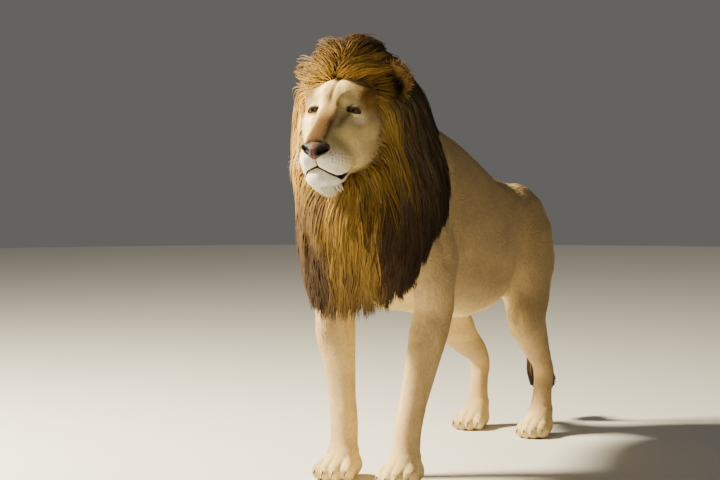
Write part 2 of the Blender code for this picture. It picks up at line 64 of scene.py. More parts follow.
eye_corners = [np.array(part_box(node)) for node in ("eye_left", "eye_right")]
PLAN_SHIFT = sum(pair.mean(axis=0) for pair in eye_corners) / 2 - EYES_MIDDLE


def head_axes():
    """The head's left, forward and up directions as columns: pitched, then turned about the upright."""
    c, s = math.cos(HEAD_PITCH), math.sin(HEAD_PITCH)
    pitched = np.array(((1, 0, 0), (0, -c, s), (0, s, c)))
    c, s = math.cos(HEAD_TURN), math.sin(HEAD_TURN)
    return np.array(((c, -s, 0), (s, c, 0), (0, 0, 1))) @ pitched


HEAD_AXES = head_axes()


def on_head(*place):
    """A place measured from midway between the eyes: to the lion's left, forward and up."""
    return HEAD_MIDDLE + HEAD_AXES @ np.array(place)


def on_head_many(q):
    """The same for many places at once."""
    return HEAD_MIDDLE + q @ HEAD_AXES.T


def head_frame(points):
    """The same three measures of many points at once: left, forward and up."""
    return (points - HEAD_MIDDLE) @ HEAD_AXES


def unit(vectors):
    """Vectors scaled to length one."""
    return vectors / np.maximum(np.linalg.norm(vectors, axis=-1, keepdims=True), 1e-9)


def ramp(values, low, high):
    """0 below low, 1 above high, and a smooth S between them."""
    t = np.clip((values - low) / (high - low), 0.0, 1.0)
    return t * t * (3 - 2 * t)


def grid_faces(rows, columns):
    """Quads of a grid whose columns close round; row by row."""
    r, c = np.meshgrid(np.arange(rows - 1), np.arange(columns), indexing="ij")
    near, far = r * columns + c, r * columns + (c + 1) % columns
    return np.stack((near, far, far + columns, near + columns), axis=-1).reshape(-1, 4)


def ball(centre, radii, tilt=0.0, yaw=0.0, rows=15, columns=24):
    """An ellipsoid: a unit sphere by height and turn, scaled, tilted about X, turned about Z."""
    height, turn = np.meshgrid(
        np.linspace(-math.pi / 2, math.pi / 2, rows),
        np.arange(columns) * 2 * math.pi / columns,
        indexing="ij",
    )
    x = np.cos(height) * np.cos(turn) * radii[0]
    y = np.cos(height) * np.sin(turn) * radii[1]
    z = np.sin(height) * radii[2]
    y, z = y * math.cos(tilt) - z * math.sin(tilt), y * math.sin(tilt) + z * math.cos(tilt)
    x, y = x * math.cos(yaw) - y * math.sin(yaw), x * math.sin(yaw) + y * math.cos(yaw)
    return np.stack((x, y, z), -1).reshape(-1, 3) + np.array(centre), grid_faces(rows, columns)


def head_ball(right, forward, up, radii):
    """An ellipsoid that is pitched and turned with the head."""
    return ball(on_head(right, forward, up), radii, tilt=-HEAD_PITCH, yaw=HEAD_TURN)


def loft(stations, columns=28, power=2.0, level=False):
    """Superellipse rings, square to the path of their centres or level, closed to a point at each end.

    A station is (centre, half width, half depth).
    """
    centres = np.array([s[0] for s in stations], float)
    widths = np.array([s[1] for s in stations])[:, None, None]
    depths = np.array([s[2] for s in stations])[:, None, None]
    along = unit(np.gradient(centres, axis=0))
    if level:
        along[:] = (0, 0, -1)
    side = unit(np.array((1.0, 0, 0)) - along * along[:, :1])[:, None]
    across = np.cross(along, side[:, 0])[:, None]
    turn = (np.arange(columns) * 2 * math.pi / columns)[None, :, None]
    c, s = np.cos(turn), np.sin(turn)
    x = np.sign(c) * np.abs(c) ** (2 / power) * widths
    y = np.sign(s) * np.abs(s) ** (2 / power) * depths
    rings = centres[:, None] + side * x + across * y
    ends = [np.repeat(centres[k][None, None], columns, axis=1) for k in (0, -1)]
    points = np.concatenate((ends[0], rings, ends[1])).reshape(-1, 3)
    return points, grid_faces(len(stations) + 2, columns)


def mesh_from(name, points, faces):
    """A mesh from whole arrays; every face has the same number of corners."""
    mesh = bpy.data.meshes.new(name)
    mesh.vertices.add(len(points))
    mesh.vertices.foreach_set("co", np.asarray(points, np.float32).ravel())
    corners = faces.shape[1]
    mesh.loops.add(faces.size)
    mesh.loops.foreach_set("vertex_index", faces.ravel().astype(np.int32))
    mesh.polygons.add(len(faces))
    mesh.polygons.foreach_set("loop_start", np.arange(len(faces), dtype=np.int32) * corners)
    mesh.update(calc_edges=True)
    return mesh


def shown(name, content):
    """A new object in the scene for a mesh, a lamp or a camera."""
    obj = bpy.data.objects.new(name, content)
    bpy.context.scene.collection.objects.link(obj)
    return obj


def joined(name, shells):
    """One mesh from many shells, each a pair of points and faces."""
    start = np.cumsum([0] + [len(points) for points, _ in shells])
    faces = np.concatenate([faces + start[k] for k, (_, faces) in enumerate(shells)])
    return mesh_from(name, np.concatenate([points for points, _ in shells]), faces)


def melted(shells, voxel):
    """One skin round many overlapping shells, in quads about a voxel wide."""
    lump = shown("lump", joined("lump", shells))
    melt = lump.modifiers.new("melt", "REMESH")
    melt.mode = "VOXEL"
    melt.voxel_size = voxel
    bpy.context.view_layer.update()
    graph = bpy.context.evaluated_depsgraph_get()
    mesh = bpy.data.meshes.new_from_object(lump.evaluated_get(graph))
    bpy.data.objects.remove(lump, do_unlink=True)
    return mesh


def coordinates(mesh):
    """The places of a mesh's corners, one row each."""
    points = np.empty(len(mesh.vertices) * 3, np.float32)
    mesh.vertices.foreach_get("co", points)
    return points.reshape(-1, 3).astype(float)


def place_vertices(mesh, points):
    """Moves a mesh's corners to new places."""
    mesh.vertices.foreach_set("co", points.astype(np.float32).ravel())
    mesh.update()


def vertex_normals(mesh):
    """The outward direction at each corner of a mesh."""
    normals = np.empty(len(mesh.vertices) * 3, np.float32)
    mesh.vertex_normals.foreach_get("vector", normals)
    return normals.reshape(-1, 3).astype(float)


def relaxed(mesh, points, rounds, share):
    """Moves each point a share of the way to the mean of its neighbours, several times."""
    ends = np.empty(len(mesh.edges) * 2, np.int32)
    mesh.edges.foreach_get("vertices", ends)
    one, two = ends.reshape(-1, 2).T
    count = np.bincount(np.r_[one, two], minlength=len(points))[:, None]
    size = len(points)
    for _ in range(rounds):
        total = np.empty((size, 3))
        for k in range(3):
            total[:, k] = np.bincount(one, points[two, k], size) + np.bincount(two, points[one, k], size)
        points = points + (total / np.maximum(count, 1) - points) * 0.5 * share[:, None]
    return points


TRUNK_RINGS = np.array((  # along Y: place, top, underside, half width
    (-0.655, 0.800, 0.620, 0.070),
    (-0.610, 0.885, 0.560, 0.125),
    (-0.520, 0.985, 0.505, 0.160),
    (-0.420, 1.035, 0.485, 0.175),
    (-0.340, 1.045, 0.475, 0.182),
    (-0.220, 1.027, 0.462, 0.184),
    (-0.080, 0.985, 0.440, 0.186),
    (0.060, 0.932, 0.418, 0.186),
    (0.190, 0.885, 0.405, 0.182),
    (0.310, 0.853, 0.415, 0.166),
    (0.440, 0.835, 0.470, 0.150),
    (0.560, 0.812, 0.525, 0.138),
    (0.640, 0.775, 0.585, 0.098),
    (0.685, 0.735, 0.640, 0.045),
))
TRUNK_POWER = 2.15
NECK_STATIONS = (
    ((0.0, -0.340, 0.780), 0.125, 0.190),
    ((0.0, -0.430, 0.865), 0.120, 0.175),
    ((0.0, -0.510, 0.950), 0.112, 0.150),
    ((0.0, -0.580, 1.010), 0.102, 0.125),
    ((0.0, -0.640, 1.035), 0.085, 0.095),
)
TAIL_BASE = np.array((0.0, 0.665, 0.748))
TAIL_PATH = TAIL_BASE + np.array((
    (0, -0.080, -0.024),
    (0, 0.028, -0.044),
    (0, 0.100, -0.090),
    (0.004, 0.145, -0.185),
    (0.010, 0.160, -0.305),
    (0.016, 0.172, -0.420),
    (0.020, 0.205, -0.515),
    (0.022, 0.238, -0.568),
    (0.023, 0.285, -0.606),
))
TAIL_RADII = (0.046, 0.039, 0.031, 0.026, 0.023, 0.020, 0.018, 0.014, 0.008)


def trunk_shells():
    """Deep oval rings from breast to buttocks, a ridge over the withers, the neck and the tail."""
    stations = [((0, y, (top + low) / 2), wide, (top - low) / 2) for y, top, low, wide in TRUNK_RINGS]
    tail = [(place, radius, radius) for place, radius in zip(TAIL_PATH, TAIL_RADII)]
    ridge = ball((0, -0.32, 0.995), (0.075, 0.160, 0.062), tilt=-0.10)
    return [loft(stations, 40, TRUNK_POWER), ridge, loft(NECK_STATIONS), loft(tail, 16)]


ELBOW = np.array((0.155, -0.405, 0.50))
WRIST = np.array((0.108, -0.468, 0.160))
FOREPAW_Y = -0.505
FORE_STANCE = 0.107
FORE_STEP = 0.030
HIP = np.array((0.105, 0.485, 0.665))
KNEE = np.array((0.140, 0.425, 0.385))
HOCK = np.array((0.127, 0.665, 0.220))
HINDPAW_Y = 0.590
FAR_LEG_BACK = 0.11
TOES = (-1.5, -0.5, 0.5, 1.5)


def mirrored(place, side):
    """A place on the left side, or its mirror place on the right."""
    return np.array(place) * (side, 1, 1)


def toe_places(x, y, length, width, height):
    """The middle of each toe of a paw: the two inner toes reach furthest forward."""
    return [
        (x + toe * 0.245 * width, y - (0.34 if abs(toe) < 1 else 0.25) * length, 0.36 * height)
        for toe in TOES
    ]


def paw_shells(x, y, length, width, height, splay):
    """Heel and instep pads with four toes before them; the floor flattens the sole."""
    shells = [
        ball((x, y + 0.16 * length, 0.46 * height), (0.42 * width, 0.40 * length, 0.58 * height)),
        ball((x, y - 0.06 * length, 0.50 * height), (0.44 * width, 0.36 * length, 0.52 * height)),
    ]
    for toe, place in zip(TOES, toe_places(x, y, length, width, height)):
        radii = (0.138 * width, 0.215 * length, 0.44 * height)
        shells.append(ball(place, radii, yaw=toe * splay))
    return shells


FORE_PAWS = [
    dict(x=side * FORE_STANCE, y=FOREPAW_Y - FORE_STEP * side, length=0.185, width=0.128, height=0.078)
    for side in (1, -1)
]
HIND_PAWS = [
    dict(x=side * HOCK[0], y=HINDPAW_Y + (FAR_LEG_BACK if side < 0 else 0), length=0.165, width=0.112,
         height=0.068)
    for side in (1, -1)
]


def foreleg_shells(side, paw):
    """Shoulder, upper arm, forearm and wrist of one side, with the muscles that show."""
    step = -FORE_STEP * side
    elbow = mirrored(ELBOW, side)
    wrist = mirrored(WRIST, side) + (0, 0.9 * step, 0)
    stations = [
        ((side * 0.118, -0.430, 0.900), 0.048, 0.095),
        ((side * 0.140, -0.455, 0.780), 0.058, 0.112),
        ((side * 0.154, -0.460, 0.670), 0.062, 0.112),
        ((side * 0.160, -0.435, 0.580), 0.062, 0.094),
        (elbow, 0.059, 0.076),
        (elbow + (wrist - elbow) * 0.22, 0.059, 0.067),
        (elbow + (wrist - elbow) * 0.50, 0.052, 0.056),
        (elbow + (wrist - elbow) * 0.78, 0.045, 0.047),
        (wrist, 0.045, 0.048),
        ((paw["x"], paw["y"] + 0.028, 0.095), 0.045, 0.050),
        ((paw["x"], paw["y"] + 0.012, 0.050), 0.050, 0.058),
    ]
    muscles = [
        ball((side * 0.142, -0.530, 0.690), (0.054, 0.062, 0.095), tilt=0.35),
        ball((side * 0.128, -0.380, 0.860), (0.055, 0.105, 0.150), tilt=-0.35),
        ball((side * 0.158, -0.355, 0.610), (0.050, 0.066, 0.115), tilt=-0.30),
        ball((side * 0.155, -0.338, 0.515), (0.034, 0.030, 0.046)),
        ball((side * 0.156, -0.448, 0.425), (0.046, 0.040, 0.100), tilt=0.10),
        ball(wrist + (0, 0.038, -0.020), (0.028, 0.020, 0.028)),
    ]
    return [loft(stations)] + muscles + paw_shells(**paw, splay=-0.10 * side)


def hindleg_shells(side, paw):
    """Thigh, shin and hock of one side; the far leg swings back at the hip."""
    back = FAR_LEG_BACK if side < 0 else 0.0
    hip = mirrored(HIP, side) + (0, 0.10 * back, 0)
    knee = mirrored(KNEE, side) + (0, 0.55 * back, -0.10 * back)
    hock = mirrored(HOCK, side) + (0, back, 0.05 * back)
    stations = [
        (hip + (-0.034 * side, -0.030, 0.128), 0.024, 0.050),
        (hip + (-0.026 * side, -0.018, 0.100), 0.050, 0.098),
        (hip + (-0.008 * side, -0.004, 0.055), 0.071, 0.134),
        (hip + (0.008 * side, 0.005, 0.0), 0.082, 0.152),
        (hip + (knee - hip) * 0.45 + (0, 0.035, 0), 0.080, 0.146),
        (hip + (knee - hip) * 0.80 + (0, 0.030, 0), 0.068, 0.118),
        (knee + (0, 0.030, -0.010), 0.058, 0.092),
        (knee + (hock - knee) * 0.30 + (0, 0.012, 0.004), 0.052, 0.074),
        (knee + (hock - knee) * 0.62 + (0, 0.004, 0), 0.043, 0.056),
        (hock + (0, -0.030, 0.018), 0.037, 0.044),
        (hock + (0, -0.002, -0.020), 0.037, 0.044),
        (hock + (0, -0.020, -0.085), 0.035, 0.040),
        ((hock[0], paw["y"] + 0.045, 0.075), 0.040, 0.045),
        ((hock[0], paw["y"] + 0.020, 0.042), 0.046, 0.052),
    ]
    muscles = [
        ball(knee + (0, -0.030, 0.030), (0.050, 0.048, 0.062), tilt=-0.2),
        ball(hip + (0.018 * side, 0.085, -0.075), (0.070, 0.085, 0.155), tilt=0.20),
        ball(hip + (0.015 * side, -0.070, -0.050), (0.066, 0.082, 0.155), tilt=-0.15),
        ball(knee + (hock - knee) * 0.34 + (0, 0.040, 0.030), (0.036, 0.070, 0.046), tilt=-0.6),
        ball(hock + (0, 0.024, 0.004), (0.021, 0.024, 0.034)),
    ]
    return [loft(stations)] + muscles + paw_shells(**paw, splay=-0.08 * side)


HEAD_MASSES = (  # right, forward, up, then radii; those with a first number other than 0 are paired
    (0, -0.125, 0.012, 0.096, 0.135, 0.098),       # braincase
    (0, -0.054, 0.026, 0.086, 0.076, 0.060),       # forehead
    (0, -0.085, -0.112, 0.085, 0.110, 0.082),      # throat
    (0, 0.012, -0.062, 0.072, 0.074, 0.064),       # middle of the face
    (0, 0.076, -0.104, 0.054, 0.084, 0.054),       # muzzle
    (0, 0.045, -0.168, 0.056, 0.092, 0.044),       # lower jaw
    (0, 0.100, -0.178, 0.042, 0.045, 0.032),       # chin
    (0.026, 0.070, -0.178, 0.030, 0.052, 0.031),   # side of the chin
    (0.050, -0.027, 0.033, 0.042, 0.036, 0.021),   # brow
    (0.064, -0.078, 0.024, 0.042, 0.072, 0.050),   # temple
    (0.057, -0.086, -0.046, 0.060, 0.102, 0.078),  # cheekbone
    (0.054, -0.085, -0.110, 0.059, 0.098, 0.076),  # jaw muscle
    (0.043, -0.010, -0.070, 0.042, 0.070, 0.060),  # below the eye
    (0.027, 0.102, -0.129, 0.031, 0.050, 0.044),   # whisker pad
    (0.041, 0.050, -0.134, 0.034, 0.068, 0.042),   # cheek lip
    (0.001, 0.098, -0.160, 0.041, 0.040, 0.030),   # between the lips and the chin
    (0.056, -0.016, 0.004, 0.036, 0.026, 0.030),   # rim of the eye socket
    (0.050, 0.000, 0.026, 0.032, 0.018, 0.013),    # overhang of the brow
    (0.058, -0.010, 0.000, 0.0225, 0.0225, 0.0225),  # closed lids
)


def head_shells():
    """The head's masses, each pair on both sides, and the bridge of the nose."""
    shells = []
    for right, forward, up, *radii in HEAD_MASSES:
        for side in (1, -1) if right else (1,):
            shells.append(head_ball(side * right, forward, up, radii))
    bridge = (
        (on_head(0, -0.045, 0.008), 0.048, 0.050),
        (on_head(0, 0.000, -0.022), 0.040, 0.050),
        (on_head(0, 0.060, -0.058), 0.036, 0.045),
        (on_head(0, 0.110, -0.082), 0.037, 0.036),
        (on_head(0, 0.150, -0.096), 0.035, 0.026),
    )
    return shells + [loft(bridge, power=2.6)]


def finer(mesh, chosen, cuts):
    """Splits every quad of a chosen part of a mesh into (cuts + 1) squared smaller ones."""
    bm = bmesh.new()
    bm.from_mesh(mesh)
    mask = chosen(coordinates(mesh))
    edges = [edge for edge in bm.edges if mask[edge.verts[0].index] and mask[edge.verts[1].index]]
    bmesh.ops.subdivide_edges(bm, edges=edges, cuts=cuts, use_grid_fill=True)
    bmesh.ops.triangulate(bm, faces=[face for face in bm.faces if len(face.verts) > 4])
    bm.to_mesh(mesh)
    bm.free()


def on_face(points):
    """The bare part of the head, in front of the mane."""
    right, forward, up = head_frame(points).T
    in_front = (forward > -0.115) & (forward > -0.085 - 0.5 * up)
    return in_front & (up > -0.24) & (up < 0.118) & (np.abs(right) < 0.14)


def on_paws(points):
    """The feet, up to just above the toes."""
    return points[:, 2] < 0.088


def path_distance(points, path):
    """The shortest distance from each point to a line of straight lengths."""
    best = np.full(len(points), 9.0)
    path = np.array(path, float)
    for start, end in zip(path[:-1], path[1:]):
        span = end - start
        t = np.clip((points - start) @ span / (span @ span), 0, 1)
        best = np.minimum(best, np.linalg.norm(points - start - t[:, None] * span, axis=1))
    return best


def bump_at(q, centre, radii):
    """A round hill of height one that fades out in about its radii."""
    return np.exp(-(((q - np.array(centre)) / np.array(radii)) ** 2).sum(axis=1))


# The mouth's height by degrees round the muzzle from its middle, and lines on the left half of the
# face as seen from straight ahead: sideways and upward places.
MOUTH_TURNS = (0, 10, 20, 32, 46, 62, 78, 90, 112)
MOUTH_HEIGHTS = (-0.150, -0.159, -0.168, -0.175, -0.178, -0.175, -0.169, -0.164, -0.157)
PHILTRUM = ((0.0, -0.118), (0.0, -0.151))
TEAR_LINE = ((0.046, -0.005), (0.041, -0.016), (0.038, -0.036))
NOSE_SIDE_SHADE = ((0.037, -0.014), (0.037, -0.048), (0.035, -0.076), (0.041, -0.098))
BROW_CREASE = ((0.0, 0.100), (0.0, 0.012))
BROW_FURROW = ((0.014, 0.070), (0.028, 0.046), (0.048, 0.036))


def folded(points):
    """Both halves of the head laid on its left half: sideways places become positive."""
    q = head_frame(points)
    q[:, 0] = np.abs(q[:, 0])
    return q


def from_ahead(q, line):
    """How far each point lies from a line as seen from straight ahead of the face."""
    return path_distance(q[:, (0, 2)], line) + 9.0 * (q[:, 1] < -0.085)


def mouth_gap(q):
    """How far each point stands above the mouth's line, and how far along the line it lies."""
    turn = np.degrees(np.arctan2(q[:, 0], q[:, 1] - 0.030))
    gap = q[:, 2] - np.interp(turn, MOUTH_TURNS, MOUTH_HEIGHTS)
    beyond = np.maximum(turn - MOUTH_TURNS[-1], 0) * 0.0014
    return np.copysign(np.hypot(gap, beyond), gap), turn / 90


def lips(q):
    """1 on the black lips and the groove up to the nose, 0 away from them; broad near the corners."""
    gap, along = mouth_gap(q)
    width = 0.0022 + 0.0058 * ramp(along, 0.36, 0.60) * (1 - 0.7 * ramp(along, 0.95, 1.25))
    mouth = (1 - ramp(np.abs(gap + 0.0006 + 0.15 * width), width, width * 1.4)) * (q[:, 1] > -0.015)
    cleft = 0.9 * (1 - ramp(from_ahead(q, PHILTRUM), 0.0012, 0.0028)) * (q[:, 1] > 0.08)
    return np.maximum(mouth, cleft)


FACE_HILLS = (  # height, middle and radii of each hill or hollow, on the left half of the head
    (0.0030, (0.044, 0.004, 0.026), (0.026, 0.018, 0.012)),      # ridge of the brow
    (0.0035, (0.030, 0.126, -0.134), (0.020, 0.026, 0.020)),     # whisker pad
    (0.0030, (0.000, 0.118, -0.188), (0.030, 0.020, 0.018)),     # chin
    (-0.0120, (0.018, 0.150, -0.104), (0.016, 0.030, 0.014)),    # seat of the nose leather
    (-0.0045, (0.042, 0.064, -0.074), (0.016, 0.036, 0.018)),    # beside the bridge
    (-0.0040, (0.082, -0.030, -0.012), (0.022, 0.026, 0.014)),   # behind the eye
    (0.0030, (0.062, 0.002, -0.036), (0.026, 0.020, 0.012)),     # cheekbone under the eye
)


def groove(q, line, width):
    """1 on a line of the face, fading to 0 in about a width."""
    return np.exp(-((from_ahead(q, line) / width) ** 2))


def face_relief(points):
    """How far each point of the face stands above the plain masses, as a sum of hills and grooves."""
    q = folded(points)
    mouth, _ = mouth_gap(q)
    lift = -0.0070 * np.exp(-((mouth / 0.0042) ** 2))
    lift += np.where(mouth < 0, -0.0042, 0.0030) * np.exp(-((mouth / 0.016) ** 2))
    lift += -0.0070 * groove(q, PHILTRUM, 0.0045)
    lift += -0.0030 * groove(q, TEAR_LINE, 0.0075)
    lift += -0.0030 * groove(q, BROW_CREASE, 0.0065) * ramp(q[:, 2], 0.010, 0.045)
    lift += 0.0022 * groove(q, np.array(BROW_CREASE) + (0.024, 0), 0.018)
    lift += -0.0010 * groove(q, BROW_FURROW, 0.0070)
    for height, middle, radii in FACE_HILLS:
        lift += height * bump_at(q, middle, radii)
    return lift


EYE_RADIUS = 0.019
EYE_SPREAD = 0.0565
EYE_SET = -0.010
LID_HALF_WIDTH = 0.0168
LID_HALF_HEIGHT = 0.0060
LID_THICKNESS = 0.0022
LID_SLANT = math.radians(14)
GAZE_OUT = math.radians(9)


def eye_frame(side):
    """Centre of an eye and its own axes: outward along the lids, up across them, and its gaze."""
    centre = on_head(side * EYE_SPREAD, EYE_SET, 0.0)
    gaze = unit(HEAD_AXES @ (side * math.sin(GAZE_OUT), math.cos(GAZE_OUT), 0.04))
    out = side * HEAD_AXES[:, 0]
    out = unit(out - gaze * (gaze @ out))
    up = np.cross(out, gaze) * side
    c, s = math.cos(LID_SLANT), math.sin(LID_SLANT)
    return centre, out * c + up * s, up * c - out * s, gaze


def inside_lids(points, side):
    """How far inside the almond between the lids a point lies, seen along the gaze; negative outside."""
    centre, out, up, gaze = eye_frame(side)
    d = unit(points - centre) * EYE_RADIUS
    across, high = d @ out, d @ up
    arch = LID_HALF_HEIGHT * (1 - (across / LID_HALF_WIDTH) ** 2)
    arch = np.where(high > 0, arch * 0.40, arch)
    arch = arch - 2.5 * np.maximum(np.abs(across) - LID_HALF_WIDTH, 0)
    reach = np.where(d @ gaze > 0, arch - np.abs(high), -0.03)
    return np.maximum(reach, -0.03)


def with_lids(points):
    """Draws the skin over each eyeball as two lids, and back behind it between them."""
    for side in (1, -1):
        centre, _, up, gaze = eye_frame(side)
        v = points - centre
        far = np.linalg.norm(v, axis=1)
        d = v / far[:, None]
        off_axis = np.arccos(np.clip(d @ gaze, -1, 1)) * EYE_RADIUS
        hold = 1 - ramp(off_axis, 0.019, 0.031)
        hold = hold * (1 - ramp(far, 0.045, 0.060))
        inside = inside_lids(points, side)
        opening = ramp(inside, -0.0010, 0.0008)
        rim = 0.0012 * np.exp(-(((inside + 0.0022) / 0.0018) ** 2))
        crease = -0.0016 * np.exp(-(((inside + 0.0085) / 0.0022) ** 2)) * (d @ up > 0)
        surface = EYE_RADIUS + LID_THICKNESS + rim + crease
        target = surface * (1 - opening) + (EYE_RADIUS - 0.0045) * opening
        points = centre + d * (far + (target - far) * hold)[:, None]
    return points


def toe_grooves(points):
    """Creases between the toes and a step behind each toe's knuckle."""
    lift = np.zeros(len(points))
    for paw in FORE_PAWS + HIND_PAWS:
        d = points - (paw["x"], paw["y"] - 0.30 * paw["length"], 0)
        near = (np.abs(d[:, 1]) < 0.34 * paw["length"]) & (np.abs(d[:, 0]) < 0.6 * paw["width"])
        near &= points[:, 2] < 0.09
        between = np.cos(d[:, 0] / (0.245 * paw["width"]) * 2 * math.pi)
        front = 1 - ramp(d[:, 1], -0.02, 0.045)
        inner = np.abs(d[:, 0]) < 0.31 * paw["width"]
        lift += near * front * -0.0042 * np.clip(between, 0, 1) ** 3 * inner
    return lift


BODY_FOLDS = (  # depth, width, and the line of each fold as seen from the side: along Y and up
    (0.0110, 0.024, ((-0.300, 0.880), (-0.285, 0.740), (-0.295, 0.600), (-0.330, 0.500))),
    (0.0120, 0.026, ((0.300, 0.760), (0.310, 0.640), (0.335, 0.530), (0.360, 0.480))),
    (0.0070, 0.020, ((0.600, 0.640), (0.590, 0.520), (0.575, 0.420))),
    (0.0060, 0.020, ((-0.470, 0.880), (-0.500, 0.760), (-0.470, 0.640))),
    (0.0035, 0.014, ((-0.470, 0.470), (-0.480, 0.330), (-0.475, 0.230))),
    (-0.0050, 0.045, ((-0.390, 0.900), (-0.390, 0.760), (-0.400, 0.640))),
    (-0.0060, 0.060, ((0.440, 0.690), (0.430, 0.580))),
    (0.0035, 0.030, ((-0.180, 0.620), (0.060, 0.575), (0.260, 0.560))),
)


def body_relief(points):
    """Hollows between the big muscles of trunk and limbs, and the swell of shoulder and thigh."""
    lift = np.zeros(len(points))
    outer = ramp(np.abs(points[:, 0]), 0.070, 0.120)
    for depth, width, line in BODY_FOLDS:
        lift -= depth * np.exp(-((path_distance(points[:, (1, 2)], line) / width) ** 2))
    return lift * outer


def from_eye(points, side):
    """The distance of each point from the middle of one eye."""
    return np.linalg.norm(points - eye_frame(side)[0], axis=1)


def near_eyes(points):
    """The lids and the skin round them."""
    return np.minimum(from_eye(points, 1), from_eye(points, -1)) < 0.0275


def near_lips(points):
    """The lips and the skin beside them."""
    q = folded(points)
    return (np.abs(mouth_gap(q)[0]) < 0.011) & (q[:, 1] > -0.030) & on_face(points)


legs = []
for side, fore, hind in zip((1, -1), FORE_PAWS, HIND_PAWS):
    legs += foreleg_shells(side, fore) + hindleg_shells(side, hind)
skin_mesh = melted(trunk_shells() + legs + head_shells(), SKIN_VOXEL)
skin_points = coordinates(skin_mesh)
skin_points = relaxed(skin_mesh, skin_points, 3, np.ones(len(skin_points)))
body_only = 1 - ramp(-head_frame(skin_points)[:, 1], 0.30, 0.20) * (skin_points[:, 2] > 0.80)
body_only *= ramp(skin_points[:, 2], 0.07, 0.12)
skin_points = relaxed(skin_mesh, skin_points, 6, body_only)
place_vertices(skin_mesh, skin_points)
for chosen, cuts in ((on_face, 3), (near_eyes, 2), (near_lips, 1), (on_paws, 1)):
    finer(skin_mesh, chosen, cuts)
skin_points = coordinates(skin_mesh)
face_share = ramp(head_frame(skin_points)[:, 1], -0.13, -0.09) * (skin_points[:, 2] > 0.78)
fine_share = np.maximum(face_share, 1 - ramp(skin_points[:, 2], 0.08, 0.10))
skin_points = relaxed(skin_mesh, skin_points, 10, fine_share)
place_vertices(skin_mesh, skin_points)
depth = COAT_DEPTH + (FACE_COAT_DEPTH - COAT_DEPTH) * fine_share
lift = face_relief(skin_points) * face_share + toe_grooves(skin_points) - depth
lift += body_relief(skin_points) * (1 - fine_share)
skin_points = skin_points + vertex_normals(skin_mesh) * lift[:, None]
skin_points = with_lids(skin_points)
skin_points[:, 2] = np.maximum(skin_points[:, 2], 0.0)
place_vertices(skin_mesh, skin_points)


def mixed(low, high, share):
    """Colours between two, by a share for each point; one low colour serves for every point."""
    low = np.broadcast_to(low, (len(share), 3))
    return low + (np.asarray(high) - low) * np.asarray(share)[:, None]


CREAM = np.array((0.85, 0.64, 0.26))
BUFF = np.array((0.50, 0.34, 0.155))
TAWNY = np.array((0.34, 0.228, 0.105))
UMBER = np.array((0.17, 0.10, 0.06))
# dark brown of the tear lines, also used as painted shade in the brow crease and under the brow over each
# eye
MARK_AND_SHADE_BROWN = np.array((0.085, 0.045, 0.022))
RUSSET = np.array((0.080, 0.034, 0.005))
BROW_GOLD = np.array((0.22, 0.110, 0.020))
MUZZLE_WHITE = np.array((0.93, 0.88, 0.76))
EYE_PATCH_AND_HIGHLIGHT = np.array((0.95, 0.78, 0.46))
LIP_BLACK = np.array((0.018, 0.013, 0.012))
TUFT_BLACK = np.array((0.020, 0.013, 0.010))


